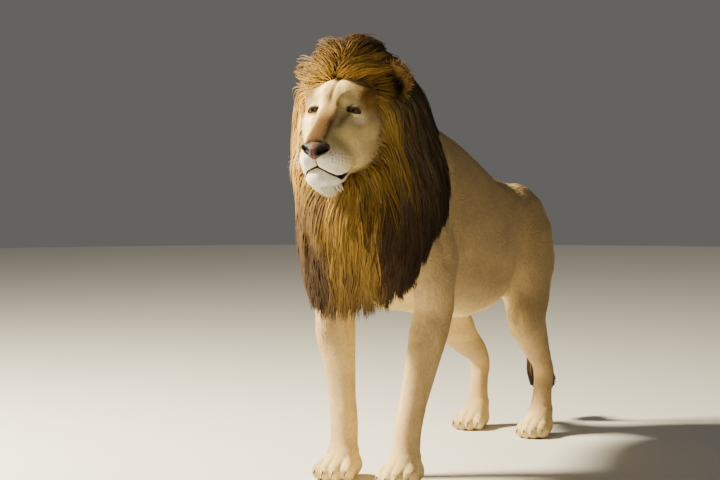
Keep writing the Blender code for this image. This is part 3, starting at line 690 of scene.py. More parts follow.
def coat_colour(points):
    """The markings, from where a point lies: pale below and inside the legs, cream face, dark lines, with
    painted shade and highlights on the face.
    """
    x, y, z = points.T
    colour = mixed(BUFF, TAWNY, ramp(z, 0.62, 0.98) * 0.8)
    under = ramp(0.62 - z, 0.0, 0.14) * (1 - ramp(np.abs(x), 0.06, 0.15)) * (z > 0.30)
    colour = mixed(colour, CREAM, under * 0.75)
    inner = (1 - ramp(np.abs(x), 0.075, 0.135)) * (1 - ramp(z, 0.42, 0.56))
    colour = mixed(colour, CREAM, inner * 0.55)
    colour = mixed(colour, CREAM, (1 - ramp(z, 0.05, 0.10)) * 0.45)
    tail = ramp(y, 0.78, 0.86) * (1 - ramp(z, 0.16, 0.24))
    colour = mixed(colour, TUFT_BLACK, tail)

    q = folded(points)
    right, forward, up = q.T
    head = ramp(forward, -0.16, -0.10) * (z > 0.78)
    # darker towards the sides of the face and at the temples: the coat's own buff and tawny, deepened with
    # painted shade
    face = mixed(CREAM, BUFF, 0.15 + ramp(right, 0.045, 0.105) * 0.75)
    face = mixed(face, TAWNY, 0.9 * ramp(right, 0.048, 0.085) * ramp(up, -0.030, 0.030))
    # paler cream on the bulges either side of the brow crease: painted highlight
    face = mixed(face, CREAM * 1.1, 0.8 * bump_at(q, (0.024, -0.030, 0.060), (0.016, 0.06, 0.045)))
    bridge = (1 - ramp(right, 0.016, 0.036)) * ramp(up, -0.110, -0.090)
    mottled = 0.965 + 0.035 * np.sin(right * 410 + 3 * np.sin(up * 170)) * np.sin(up * 330 + right * 150)
    face = mixed(face, BROW_GOLD, bridge * ramp(forward, -0.030, 0.030) * 0.85 * mottled)
    face = mixed(face, RUSSET, bridge * ramp(forward, 0.030, 0.090) * 0.99 * mottled)
    # tawny round the upper edge of the face: the coat's own colour, deepened with painted shade
    edge = np.hypot(right / 0.100, (up + 0.030) / 0.140)
    face = mixed(face, TAWNY, 0.75 * ramp(edge, 0.72, 1.0) * ramp(up, -0.020, 0.030))
    brow_corner = bump_at(q, (0.100, -0.045, 0.046), (0.036, 0.060, 0.042))
    face = mixed(face, BROW_GOLD, np.clip(brow_corner * 2.0, 0, 0.95))
    # painted shade down each side of the bridge, from the inner corner of the eye to the nose, over the
    # coat's own darker fur there
    face = mixed(face, UMBER, 0.50 * groove(q, NOSE_SIDE_SHADE, 0.016))
    # pale patch under the outer corner of each eye: the lion's own pale fur, brightened as a painted
    # highlight
    under_eye = bump_at(q, (0.074, 0.000, -0.022), (0.017, 0.03, 0.011))
    face = mixed(face, EYE_PATCH_AND_HIGHLIGHT, np.clip(under_eye * 1.3, 0, 0.80))
    over_eye = bump_at(q, (0.058, 0.004, 0.018), (0.020, 0.03, 0.009))
    face = mixed(face, MUZZLE_WHITE, over_eye * 0.20)
    pad = bump_at(q, (0.030, 0.122, -0.140), (0.036, 0.050, 0.028))
    face = mixed(face, MUZZLE_WHITE, np.clip(pad * 1.4, 0, 1))
    chin = ramp(forward, 0.030, 0.085) * (1 - ramp(up, -0.170, -0.150)) * ramp(up, -0.235, -0.215)
    face = mixed(face, MUZZLE_WHITE, chin)
    # the dark tear line under the inner corner of each eye: the lion's own marking, widened with painted
    # shade
    face = mixed(face, MARK_AND_SHADE_BROWN, 0.45 * groove(q, TEAR_LINE, 0.0090))
    # painted shade in the brow's middle crease, wavering a little, and in the furrows of the brow
    crease = np.exp(-(((from_ahead(q, BROW_CREASE) - 0.001 * np.sin(up * 240)) / 0.0055) ** 2))
    face = mixed(face, MARK_AND_SHADE_BROWN, 0.75 * crease * ramp(up, 0.005, 0.060))
    face = mixed(face, TAWNY, 0.50 * groove(q, BROW_FURROW, 0.007))
    face = mixed(face, LIP_BLACK, lips(q))
    for row in range(4):
        for spot in range(5):
            place = (0.040 + 0.004 * row, 0.136 - 0.013 * spot, -0.112 - 0.0085 * row - 0.002 * spot)
            side_gap = np.linalg.norm((q - np.array(place))[:, 1:], axis=1)
            face = mixed(face, UMBER, (1 - ramp(side_gap, 0.0012, 0.0028)) * (right > 0.02) * 0.75)
    for side in (1, -1):
        inside = inside_lids(points, side)
        near = 1 - ramp(from_eye(points, side), 0.0245, 0.0275)
        face = mixed(face, LIP_BLACK, ramp(inside, -0.0048, -0.0030) * near)
        # painted shadow of the brow over the upper lid of each eye
        above = inside_lids(points - (0, 0, 0.0055), side)
        face = mixed(face, MARK_AND_SHADE_BROWN, ramp(above, -0.0060, -0.0010) * near * 0.75)
    return mixed(colour, face, head)


def paint(mesh, name, colours):
    """Keeps a colour for each vertex, for the material to read."""
    layer = mesh.color_attributes.new(name, "FLOAT_COLOR", "POINT")
    rgba = np.ones((len(colours), 4), np.float32)
    rgba[:, :3] = np.clip(colours, 0, 1)
    layer.data.foreach_set("color", rgba.ravel())


class Wiring:
    """Adds shader nodes to a tree and links them by socket name."""

    def __init__(self, tree):
        self.tree = tree

    def node(self, kind, inputs=(), **settings):
        """Makes a node; each of its inputs is a plain value, or the socket that feeds it."""
        made = self.tree.nodes.new(kind)
        for key, value in settings.items():
            setattr(made, key, value)
        for key, value in dict(inputs).items():
            socket = made.inputs[key]
            if isinstance(value, bpy.types.NodeSocket):
                self.tree.links.new(value, socket)
            else:
                socket.default_value = value
        return made

    def tint(self, shader, colour, value, limits, strength):
        """Makes a shader's colour go darker or lighter as a value goes between two limits."""
        shade = self.node("ShaderNodeMapRange", {
            "Value": value,
            "From Min": limits[0],
            "From Max": limits[1],
            "To Min": strength[0],
            "To Max": strength[1],
        })
        scaled = self.node("ShaderNodeVectorMath", {0: colour}, operation="SCALE")
        self.tree.links.new(shade.outputs["Result"], scaled.inputs["Scale"])
        self.tree.links.new(scaled.outputs["Vector"], shader.inputs["Base Color"])

    def bump(self, shader, value, strength, distance, **settings):
        """Raises a shader's surface by a value."""
        inputs = {"Height": value, "Strength": strength, "Distance": distance}
        raised = self.node("ShaderNodeBump", inputs, **settings)
        self.tree.links.new(raised.outputs["Normal"], shader.inputs["Normal"])


def new_material(name, numbers):
    """A material, the wiring of its nodes, and its shader with plain numbers on its own sockets."""
    material = bpy.data.materials.new(name)
    material.use_nodes = True
    shader = material.node_tree.nodes["Principled BSDF"]
    for socket, value in numbers.items():
        shader.inputs[socket].default_value = value
    return material, Wiring(material.node_tree), shader


def hair_grain_group():
    """A node group: fine streaks along a chosen axis, and slow patches, as one value each."""
    group = bpy.data.node_groups.new("hair grain", "ShaderNodeTree")
    sockets = group.interface
    sockets.new_socket("Vector", in_out="INPUT", socket_type="NodeSocketVector")
    sockets.new_socket("Scale", in_out="INPUT", socket_type="NodeSocketFloat")
    sockets.new_socket("Streaks", in_out="OUTPUT", socket_type="NodeSocketFloat")
    sockets.new_socket("Patches", in_out="OUTPUT", socket_type="NodeSocketFloat")
    w = Wiring(group)
    given = w.node("NodeGroupInput")
    place, fineness = given.outputs["Vector"], given.outputs["Scale"]
    fine_noise = {"Vector": place, "Scale": fineness, "Detail": 4.0, "Roughness": 0.65}
    streak = w.node("ShaderNodeTexNoise", fine_noise)
    patch = w.node("ShaderNodeTexNoise", {"Vector": place, "Scale": 28.0, "Detail": 2.0})
    out = w.node("NodeGroupOutput")
    group.links.new(streak.outputs["Fac"], out.inputs["Streaks"])
    group.links.new(patch.outputs["Fac"], out.inputs["Patches"])
    return group


HAIR_GRAIN = hair_grain_group()


def coat_material(name, stretch, scale, roughness, bump, contrast=0.5, sheen=0.0, gloss=0.12, hairs=False):
    """A coat: the colours painted on it, markings and painted shade alike, darker and lighter along streaks,
    with a hair-fine bump.

    The streaks follow the object's own axes, or run along each lock by its "hair" attribute.
    """
    material, w, shader = new_material(name, {
        "Roughness": roughness,
        "Sheen Weight": sheen,
        "Sheen Roughness": 0.5,
        "Specular IOR Level": gloss,
    })
    if hairs:
        place = w.node("ShaderNodeAttribute", attribute_name="hair").outputs["Vector"]
    else:
        place = w.node("ShaderNodeTexCoord").outputs["Object"]
    stretched = w.node("ShaderNodeMapping", {"Vector": place, "Scale": stretch})
    grain = w.node("ShaderNodeGroup", node_tree=HAIR_GRAIN)
    w.tree.links.new(stretched.outputs["Vector"], grain.inputs["Vector"])
    grain.inputs["Scale"].default_value = scale
    marks = w.node("ShaderNodeAttribute", attribute_name="coat")
    uneven = w.node("ShaderNodeMath", {0: grain.outputs["Patches"], 1: 0.6, 2: grain.outputs["Streaks"]},
                    operation="MULTIPLY_ADD")
    strength = (1 - contrast * 0.6, 1 + contrast * 0.4)
    w.tint(shader, marks.outputs["Color"], uneven.outputs["Value"], (0.6, 1.0), strength)
    w.bump(shader, grain.outputs["Streaks"], bump, 0.002)
    return material


def close_up(mesh):
    """Joins corners that share a place, at poles and seams, and fills any pinhole left."""
    work = bmesh.new()
    work.from_mesh(mesh)
    bmesh.ops.remove_doubles(work, verts=work.verts, dist=SAME_PLACE)
    open_edges = [edge for edge in work.edges if edge.is_boundary]
    bmesh.ops.holes_fill(work, edges=open_edges, sides=6)
    work.to_mesh(mesh)
    work.free()


def put(name, mesh, material, slot, *nodes):
    """Moves a finished mesh from the plan to where the solids stand, and hangs it on the lion."""
    if not mesh.uv_layers:
        close_up(mesh)
    place_vertices(mesh, coordinates(mesh) + PLAN_SHIFT)
    mesh.materials.clear()
    mesh.materials.append(material)
    mesh.shade_smooth()
    obj = shown(name, mesh)
    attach(obj, "root")
    if nodes:
        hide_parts(*nodes)


FLESH_NODES = ["head", "lower_jaw", "neck", "chest", "belly", "rump", "tail"] + [
    part + "_" + word
    for part in ("shoulder", "forearm", "forepaw", "thigh", "shin", "hindpaw")
    for word in ("left", "right")
]
paint(skin_mesh, "coat", coat_colour(skin_points))
skin_material = coat_material("short coat over skin", (1.0, 0.25, 0.5), 260.0, 0.8, 0.5, 0.32, 0.01)
put("skin", skin_mesh.copy(), skin_material, "short_coat", *FLESH_NODES)

# ------------------------------------------------------------------ eyes
# Two wet amber globes with round pupils, held between the lids.
PUPIL = 0.25
IRIS = 0.62
IRIS_ROWS, IRIS_TURNS = 40, 48


def eye_material():
    """Amber iris with fine spokes, dark round pupil and rim, and a wet coat over all."""
    material, w, shader = new_material("wet amber eye", {
        "Roughness": 0.12,
        "Specular IOR Level": 0.2,
        "Coat Weight": 0.6,
        "Coat Roughness": 0.03,
    })
    ring = w.node("ShaderNodeAttribute", attribute_name="ring")
    spoke = w.node("ShaderNodeAttribute", attribute_name="spoke")
    fibres = w.node("ShaderNodeTexNoise", {"Vector": spoke.outputs["Vector"], "Scale": 9.0, "Detail": 3.0})
    rings = w.node("ShaderNodeValToRGB", {"Fac": ring.outputs["Fac"]})
    stops = (
        (0.0, (0.004, 0.003, 0.003)),
        (PUPIL, (0.004, 0.003, 0.003)),
        (PUPIL + 0.03, (0.080, 0.042, 0.012)),
        (0.42, (0.17, 0.098, 0.028)),
        (IRIS - 0.08, (0.085, 0.044, 0.013)),
        (IRIS, (0.030, 0.016, 0.010)),
        (IRIS + 0.14, (0.050, 0.030, 0.022)),
        (1.0, (0.32, 0.22, 0.17)),
    )
    bands = rings.color_ramp.elements
    while len(bands) < len(stops):
        bands.new(1.0)
    for band, (place, colour) in zip(bands, stops):
        band.position = place
        band.color = (*colour, 1.0)
    w.tint(shader, rings.outputs["Color"], fibres.outputs["Fac"], (0.3, 0.7), (0.72, 1.25))
    return material


def rows_and_turns(rows, columns, last=1.0):
    """A grid's two parameters: from 0 to last down the rows, and once round along the columns."""
    return np.meshgrid(np.linspace(0, last, rows), np.arange(columns) * 2 * math.pi / columns, indexing="ij")


def globe(side):
    """Polar rings round the gaze: a sphere with the cornea bulging a little over the iris."""
    centre, out, up, gaze = eye_frame(side)
    lean, turn = rows_and_turns(IRIS_ROWS, IRIS_TURNS, math.pi)
    ring = np.clip(np.sin(lean / 2) * 1.9, 0, 1)
    bulge = EYE_RADIUS * (1 + 0.045 * np.exp(-((lean / 0.50) ** 2)))
    d = (np.cos(lean)[..., None] * gaze + (np.sin(lean) * np.cos(turn))[..., None] * out
         + (np.sin(lean) * np.sin(turn))[..., None] * up)
    points = centre + d * bulge[..., None]
    spokes = np.stack((np.cos(turn) * 2.2, np.sin(turn) * 2.2, ring * 0.6), -1)
    faces = grid_faces(IRIS_ROWS, IRIS_TURNS)[:, ::side]
    return points.reshape(-1, 3), faces, ring.ravel(), spokes.reshape(-1, 3)


amber = eye_material()
for word, side in (("left", 1), ("right", -1)):
    points, faces, ring, spokes = globe(side)
    mesh = mesh_from("globe", points, faces)
    mesh.attributes.new("ring", "FLOAT", "POINT").data.foreach_set("value", ring.astype(np.float32))
    mesh.attributes.new("spoke", "FLOAT_VECTOR", "POINT").data.foreach_set(
        "vector", spokes.astype(np.float32).ravel()
    )
    put("eye_" + word + "_globe", mesh, amber, "eye", "eye_" + word)

# ------------------------------------------------------------------ nose
# The bare leather pad: broad above, narrowing to the groove below, with a comma nostril each side.
NOSE_HALF_WIDTH = 0.0425
NOSE_TOP, NOSE_BOTTOM = -0.084, -0.132
NOSE_ROWS, NOSE_COLUMNS = 72, 110


def nose_pad():
    """A closed cushion: height by row, and round it by column, pushed in at nostrils and groove."""
    t, turn = rows_and_turns(NOSE_ROWS, NOSE_COLUMNS)
    half = np.interp(t, [0, 0.06, 0.2, 0.45, 0.62, 0.8, 1.0], [0.40, 0.86, 1.0, 0.96, 0.76, 0.42, 0.16])
    half = half * NOSE_HALF_WIDTH * np.sin(np.clip(t * math.pi, 0.02, math.pi - 0.02)) ** 0.18
    deep = np.interp(t, [0, 0.1, 0.4, 0.75, 1.0], [0.006, 0.013, 0.019, 0.017, 0.009])
    cap = np.sqrt(np.clip(1 - (2 * t - 1) ** 12, 0, 1))
    c, s = np.cos(turn), np.sin(turn)
    right = np.sign(c) * np.abs(c) ** 0.80 * half * cap
    ahead = np.sign(s) * np.abs(s) ** 0.75 * deep * cap
    up = NOSE_TOP + (NOSE_BOTTOM - NOSE_TOP) * t + 0.0040 * (right / NOSE_HALF_WIDTH) ** 2 * (1 - t)
    forward = 0.150 + ahead - 0.34 * np.abs(right) * (0.55 + 0.2 * t) + 0.004 * np.sin(t * math.pi)
    front = s > 0.0
    hole_right = np.abs(right) - 0.0230
    hole_up = up + 0.1060 - 0.45 * hole_right
    nostril = np.exp(-((hole_right / 0.0120) ** 4) - ((hole_up / 0.0080) ** 4))
    wing = np.exp(-(((np.abs(right) - 0.036) / 0.0085) ** 2) - (((up + 0.104) / 0.0065) ** 2))
    cleft = np.exp(-((right / 0.0022) ** 2)) * ramp(t, 0.30, 0.55)
    forward = forward - front * (0.016 * nostril + 0.009 * wing + 0.0035 * cleft)
    points = on_head_many(np.stack((right, forward, up), -1).reshape(-1, 3))
    # the nostrils and the wings beside them painted near black: painted shade of the openings, over the
    # nose's own dark edges
    dark = np.clip(front * (nostril * 2.4 + wing * 2.0), 0, 1).ravel()
    return points, grid_faces(NOSE_ROWS, NOSE_COLUMNS), dark


NOSE_PINK = np.array((0.115, 0.058, 0.042))
NOSE_DARK = np.array((0.014, 0.009, 0.008))


def leather_material():
    """Pebbled nose leather: small cells raised by a bump, darker between, with a damp gloss."""
    material, w, shader = new_material("nose leather", {
        "Roughness": 0.62,
        "Specular IOR Level": 0.25,
        "Coat Weight": 0.05,
        "Coat Roughness": 0.3,
    })
    place = w.node("ShaderNodeTexCoord")
    cells = w.node("ShaderNodeTexVoronoi", {"Vector": place.outputs["Object"], "Scale": 620.0})
    marks = w.node("ShaderNodeAttribute", attribute_name="coat")
    w.tint(shader, marks.outputs["Color"], cells.outputs["Distance"], (0.1, 0.7), (1.15, 0.72))
    w.bump(shader, cells.outputs["Distance"], 0.35, 0.001, invert=True)
    return material


points, faces, dark = nose_pad()
nose_mesh = mesh_from("nose leather", points, faces)
q = folded(points)
tone = mixed(NOSE_PINK, NOSE_DARK, 0.92 * ramp(q[:, 0], 0.006, 0.018))
paint(nose_mesh, "coat", mixed(tone, LIP_BLACK * 0.4, dark))
put("nose_pad", nose_mesh, leather_material(), "nose_leather", "nose")

# ------------------------------------------------------------------ ears
# Round cups of gristle under short fur, golden at the rim, with painted shade in the bowl and painted light
# towards its top.
EAR_PLACES = {"left": (1, on_head(0.115, -0.152, 0.074)), "right": (-1, on_head(-0.118, -0.160, 0.076))}
EAR_TURN = math.radians(28)
EAR_HALF_WIDTH, EAR_HALF_HEIGHT = 0.051, 0.056
EAR_ROWS, EAR_COLUMNS = 44, 64
EAR_GOLD = np.array((0.50, 0.290, 0.085))
EAR_DARK = np.array((0.030, 0.019, 0.013))


def ear_axes(side):
    """Across, up and outward directions of an ear's cup."""
    across = np.array((math.cos(EAR_TURN), side * math.sin(EAR_TURN), 0.0))
    return across, np.array((0, 0.10, 1.0)), np.array((side * math.sin(EAR_TURN), -math.cos(EAR_TURN), 0.12))


def ear_cup(side, centre):
    """From the bottom of the bowl out to a rounded rim and round to the back, turn by turn."""
    s, turn = rows_and_turns(EAR_ROWS, EAR_COLUMNS)
    inner = np.clip(s / 0.46, 0, 1)
    outer = np.clip((1 - s) / 0.46, 0, 1)
    reach = np.where(s < 0.5, inner * 0.93 + 0.07 * ramp(s, 0.40, 0.5), outer ** 0.9)
    bowl = -0.034 * (1 - inner ** 2.2)
    back = -0.046 * (1 - outer ** 2.0) - 0.004
    lip = 0.004 * np.exp(-(((s - 0.5) / 0.06) ** 2))
    ahead = np.where(s < 0.5, bowl, back) + lip
    c, sn = np.cos(turn), np.sin(turn)
    wide = c * EAR_HALF_WIDTH * reach
    high = sn * EAR_HALF_HEIGHT * reach
    ahead = ahead - 0.020 * (wide / EAR_HALF_WIDTH) ** 2 + 0.010 * (high / EAR_HALF_HEIGHT) * reach
    ahead = ahead - 0.010 * np.clip(high / EAR_HALF_HEIGHT, 0, 1) ** 2
    across, upright, outward = ear_axes(side)
    points = centre + wide[..., None] * across + high[..., None] * upright + ahead[..., None] * outward
    return points.reshape(-1, 3)


def ear_colour(points, side, centre):
    """Painted shade in the bowl, lighter towards its top as painted light, golden round the rim, and a black
    patch on the back.
    """
    across, high, outward = ear_axes(side)
    d = points - centre
    reach = np.hypot(d @ across / EAR_HALF_WIDTH, d @ high / EAR_HALF_HEIGHT)
    behind = ramp(-(d @ outward) - 0.030 * reach ** 2, 0.006, 0.020)
    # the rim's own gold, and painted light on the bowl's upper half; the lower bowl stays dark as painted
    # shade
    gold_rim_and_lit_top = np.maximum(ramp(reach, 0.62, 0.86), ramp(d @ high / EAR_HALF_HEIGHT, 0.05, 0.50) * 0.8)
    colour = mixed(EAR_DARK, EAR_GOLD, gold_rim_and_lit_top)
    return mixed(colour, EAR_DARK, behind * (1 - ramp(reach, 0.70, 0.95)))


ears = {}
ear_material = coat_material("ear fur", (1.0, 1.0, 0.35), 300.0, 0.8, 0.5)
for word, (side, centre) in EAR_PLACES.items():
    points = ear_cup(side, centre)
    mesh = mesh_from("ear", points, grid_faces(EAR_ROWS, EAR_COLUMNS)[:, ::-1])
    # the cup's colours at 0.6: darker under the ear's hair, as painted shade
    paint(mesh, "coat", ear_colour(points, side, centre) * 0.6)
    ears[word] = mesh.copy()
    put("ear_" + word + "_cup", mesh, ear_material, "short_coat", "ear_" + word)

# ------------------------------------------------------------------ mane
# Long hair that grows from the head, neck and breast.  A soft wool lies beneath, darkened as painted shade
# deep in the mane, and locks of hair run over it: up and back from the brow, swept to the lion's right,
# and down from the cheeks.
MANE_RINGS = np.array((  # height, sideways, front, back, half width
    (1.234, -0.028, -0.696, -0.475, 0.080),
    (1.212, -0.030, -0.712, -0.430, 0.098),
    (1.190, -0.044, -0.718, -0.390, 0.124),
    (1.165, -0.048, -0.722, -0.355, 0.150),
    (1.100, -0.032, -0.718, -0.290, 0.172),
    (1.000, -0.030, -0.716, -0.240, 0.194),
    (0.915, -0.010, -0.752, -0.232, 0.205),
    (0.830, 0.010, -0.778, -0.250, 0.203),
    (0.750, 0.012, -0.778, -0.280, 0.200),
    (0.670, 0.010, -0.765, -0.320, 0.187),
    (0.590, 0.001, -0.748, -0.370, 0.166),
    (0.520, 0.003, -0.722, -0.440, 0.142),
    (0.475, 0.000, -0.680, -0.520, 0.090),
    (0.455, 0.000, -0.650, -0.570, 0.040),
))[::-1]
MANE_POWER = 2.15
MANE_TOP, CROWN_CAP = 1.266, 0.032
HANG_HEIGHT = 0.545
PRESSED_ABOVE, PRESSED_BEYOND = 1.272, 0.215  # stray hairs are pressed back past this height and width
FACE_ROOM = (on_head(0, 0.120, -0.044), np.array((0.135, 0.230, 0.176)))
EAR_WINDOWS = (
    (EAR_PLACES["left"][1] + (0.016, -0.056, 0.000), np.array((0.058, 0.094, 0.048))),
    (EAR_PLACES["right"][1] + (-0.080, 0.000, 0.000), np.array((0.070, 0.045, 0.045))),
)


def mane_ring(heights):
    """The mane's level outline at each height: middle across, middle along, and both half sizes.

    It is read from MANE_RINGS, and stays the same below HANG_HEIGHT and in the crown's cap.
    """
    level = np.clip(heights, HANG_HEIGHT, MANE_TOP - CROWN_CAP)
    sideways, front, back, half = (
        np.interp(level, MANE_RINGS[:, 0], MANE_RINGS[:, k]) for k in (1, 2, 3, 4)
    )
    return sideways, (front + back) / 2, half, (back - front) / 2


def cap_share(heights):
    """0 up to the foot of the crown's cap, and 1 at its top."""
    return np.maximum(heights - (MANE_TOP - CROWN_CAP), 0) / CROWN_CAP


def on_mane(turn, heights, inward=0.0):
    """Points of the mane's outer shape, drawn in by a depth: |x/a|^p + |y/b|^p + cap^p = 1."""
    across, along, half, depth = mane_ring(heights)
    closing = np.maximum(1 - cap_share(heights) ** MANE_POWER, 0) ** (1 / MANE_POWER)
    c, s = np.cos(turn), np.sin(turn)
    x = across + np.sign(c) * np.abs(c) ** (2 / MANE_POWER) * np.maximum(half - inward, 0.01) * closing
    y = along + np.sign(s) * np.abs(s) ** (2 / MANE_POWER) * np.maximum(depth - inward, 0.01) * closing
    return np.stack(np.broadcast_arrays(x, y, heights), axis=-1)


def ring_share(points):
    """How many times further out than the mane's outer shape each point lies, in its own level ring."""
    across, along, half, depth = mane_ring(points[:, 2])
    dx = np.abs(points[:, 0] - across) / half
    dy = np.abs(points[:, 1] - along) / depth
    return (dx ** MANE_POWER + dy ** MANE_POWER + cap_share(points[:, 2]) ** MANE_POWER) ** (1 / MANE_POWER)


def outside_mane(points, step=0.004):
    """The height of each point over the mane's outer shape, and the outward direction there."""
    share = ring_share(points)
    slope = np.stack([ring_share(points + step * axis) - share for axis in np.eye(3)], axis=1) / step
    steep = np.maximum(np.linalg.norm(slope, axis=1), 2.0)
    return (share - 1) / steep, slope / steep[:, None]


def ellipsoid_share(points, room):
    """How far out each point lies in a room, a middle and three radii: 1 on its wall."""
    centre, radii = room
    return np.linalg.norm((points - centre) / radii, axis=1)


def kept_out(points, room):
    """Pushes points that lie within a room out to its wall."""
    share = np.maximum(ellipsoid_share(points, room), 0.05)
    return np.where((share < 1)[:, None], room[0] + (points - room[0]) / share[:, None], points)


def drawn_aside(points, room, heading):
    """Slides points that lie within a room along a heading until they reach its wall."""
    centre, radii = room
    u = (points - centre) / radii
    w = heading / radii
    inner = u @ w
    away = 1 - (u ** 2).sum(axis=1)
    slide = (-inner + np.sqrt(np.maximum(inner ** 2 + (w @ w) * away, 0))) / (w @ w)
    return points + np.where(away > 0, slide, 0.0)[:, None] * heading


def in_trunk(points):
    """True where a point lies well inside the trunk, where no hair shows."""
    top, low, half = (np.interp(points[:, 1], TRUNK_RINGS[:, 0], TRUNK_RINGS[:, k]) for k in (1, 2, 3))
    dx = np.abs(points[:, 0]) / np.maximum(half - 0.012, 0.01)
    dz = np.abs(points[:, 2] - (top + low) / 2) / np.maximum((top - low) / 2 - 0.012, 0.01)
    return (dx ** TRUNK_POWER + dz ** TRUNK_POWER < 1) & (points[:, 1] > TRUNK_RINGS[0, 0])


def in_head(points, margin=0.006):
    """True where a point lies inside any of the head's masses, less a margin."""
    q = head_frame(points)
    inside = np.zeros(len(points), bool)
    for right, forward, up, *radii in HEAD_MASSES:
        for side in (1, -1) if right else (1,):
            d = (q - (side * right, forward, up)) / (np.array(radii) - margin)
            inside |= (d ** 2).sum(axis=1) < 1
    return inside


WOOL_DEPTH = 0.030
WOOL_ROWS, WOOL_COLUMNS = 110, 120
GOLD = np.array((0.52, 0.295, 0.048))
PALE_GOLD = np.array((0.68, 0.48, 0.17))
AMBER_AND_HIGHLIGHT = np.array((0.70, 0.38, 0.060))
RUST = np.array((0.38, 0.182, 0.022))
MANE_BROWN = np.array((0.072, 0.040, 0.020))
MANE_BLACK = np.array((0.020, 0.013, 0.010))
OLIVE = np.array((0.19, 0.135, 0.070))


def wool():
    """The mane's own shape drawn in by the wool's depth, with rooms left for face and ears."""
    heights = HANG_HEIGHT + (MANE_TOP - HANG_HEIGHT) * np.sin(np.linspace(0, math.pi / 2, WOOL_ROWS))
    turn = np.arange(WOOL_COLUMNS) * 2 * math.pi / WOOL_COLUMNS
    rounding = 0.07 * (1 - ramp(heights, HANG_HEIGHT, HANG_HEIGHT + 0.07))
    points = on_mane(turn[None], heights[:, None], (WOOL_DEPTH + rounding)[:, None])
    points[..., 2] -= WOOL_DEPTH * 0.75 * ramp(points[..., 2], 1.10, MANE_TOP)
    ends = [np.broadcast_to(points[k].mean(axis=0), (1, WOOL_COLUMNS, 3)) for k in (0, -1)]
    points = np.concatenate((ends[0], points, ends[1])).reshape(-1, 3)
    points = kept_out(points, (FACE_ROOM[0], FACE_ROOM[1] + 0.008))
    for side, (centre, radii) in zip((1, -1), EAR_WINDOWS):
        points = drawn_aside(points, (centre, radii + 0.004), np.array((-side * 0.9, 0.35, -0.1)))
    return points, grid_faces(WOOL_ROWS + 2, WOOL_COLUMNS)


def mane_colour(roots, chance):
    """Gold round the face and down the front of the bib, rust on the crown, then dark brown to black, with
    painted shade on the lion's left and a painted highlight above its left brow.
    """
    up = head_frame(roots)[:, 2]
    x, y, z = roots.T
    rim = ellipsoid_share(roots, FACE_ROOM) - 1 + (chance - 0.5) * 0.45
    # on the lion's left the hair below the crown goes olive and the gold round the face is narrower: painted
    # shade on that side, over the mane's own olive and gold
    left_side = ramp(x, -0.02, 0.08)
    colour = mixed(MANE_BROWN, MANE_BLACK, ramp(y, -0.66, -0.48) * 0.8 + 0.2 * (chance > 0.7))
    olive = (1 - ramp(rim, 0.75, 1.35)) * left_side * (1 - ramp(z, 1.10, 1.15)) * ramp(z, 0.76, 0.88)
    colour = mixed(colour, OLIVE, olive * (0.30 + 0.70 * (chance > 0.45)))
    colour = mixed(colour, PALE_GOLD, olive * 0.55 * (chance > 0.88))
    gold = 1 - ramp(rim, 0.38 - 0.06 * left_side, 0.72 - 0.16 * left_side)
    colour = mixed(colour, GOLD, gold * (0.55 + 0.45 * (chance > 0.28)))
    colour = mixed(colour, RUST, gold * (chance < 0.22) * 0.7)
    temple = bump_at(folded(roots), (0.120, -0.060, 0.015), (0.035, 0.050, 0.050))
    colour = mixed(colour, GOLD, temple * 0.8)
    colour = mixed(colour, PALE_GOLD, gold * ramp(chance, 0.55, 0.9) * (1 - ramp(up, 0.02, 0.10)))
    crown = ramp(z, 1.10, 1.16)
    front = 1 - ramp(y, -0.68, -0.56)
    colour = mixed(colour, RUST, crown * front * ramp(rim, 0.05, 0.4) * 0.75)
    colour = mixed(colour, GOLD, (1 - ramp(rim, 0.05, 0.22)) * ramp(up, 0.03, 0.07) * 0.8)
    # the crown's golden hair above the left brow, brightened to amber as a painted highlight
    sweep = bump_at(head_frame(roots), (0.062, -0.070, 0.105), (0.050, 0.070, 0.045))
    colour = mixed(colour, AMBER_AND_HIGHLIGHT, np.clip(sweep * 1.5, 0, 0.9) * (chance > 0.12))
    brown_from = 1.112 + 0.060 * ramp(x, -0.13, -0.03) * front
    brown = ramp(z + 0.06 * (chance - 0.5), brown_from, brown_from + 0.050) * 0.92
    colour = mixed(colour, MANE_BROWN, brown)
    below = 1 - ramp(z, 0.84, 0.93)
    # the mane's sides below the cheeks go dark brown, their own colour; on the lion's left they go black,
    # which is painted shade
    side_shade = below * ramp(np.abs(x - 0.040), 0.060, 0.120) * (1 - ramp(z, 0.74, 0.86))
    colour = mixed(colour, mixed(MANE_BROWN, MANE_BLACK, 0.9 * ramp(x, 0.0, 0.1)), side_shade)
    bib = below * (1 - ramp(y, -0.70, -0.58))
    middle = 1 - ramp(np.abs(x - 0.040), 0.040, 0.105)
    streak = ramp(chance + 0.55 * middle, 0.72, 1.0) * middle
    colour = mixed(colour, MANE_BROWN, bib * 0.8)
    colour = mixed(colour, GOLD, bib * streak * (0.35 + 0.60 * ramp(z, 0.54, 0.78)))
    colour = mixed(colour, PALE_GOLD, bib * streak * ramp(chance, 0.7, 1.0) * 0.6)
    return colour


def mane_flow(points):
    """Which way the hair runs: back and apart from the crown's parting, else down, swept to one side."""
    q = head_frame(points)
    high = ramp(points[:, 2], 1.06, 1.17)
    apart = np.tanh((q[:, 0] + 0.016 * np.sin(points[:, 2] * 45)) / 0.070)
    sideways = np.where(apart < 0, 1.25, 0.85) * apart - 0.15
    crown = np.stack((sideways, np.full_like(apart, 0.75), np.full_like(apart, 0.25)), axis=1)
    fall = np.array((-0.10, 0.10, -1.0))
    outward = unit(q * (1, 0, 1) + (0, 0.6, 0.05))
    near_face = 1 - ramp(ellipsoid_share(points, FACE_ROOM), 1.0, 1.45)
    flow = crown * high[:, None] + fall * (1 - high[:, None])
    return unit(flow * (1 - 0.55 * near_face[:, None]) + outward * 0.55 * near_face[:, None])


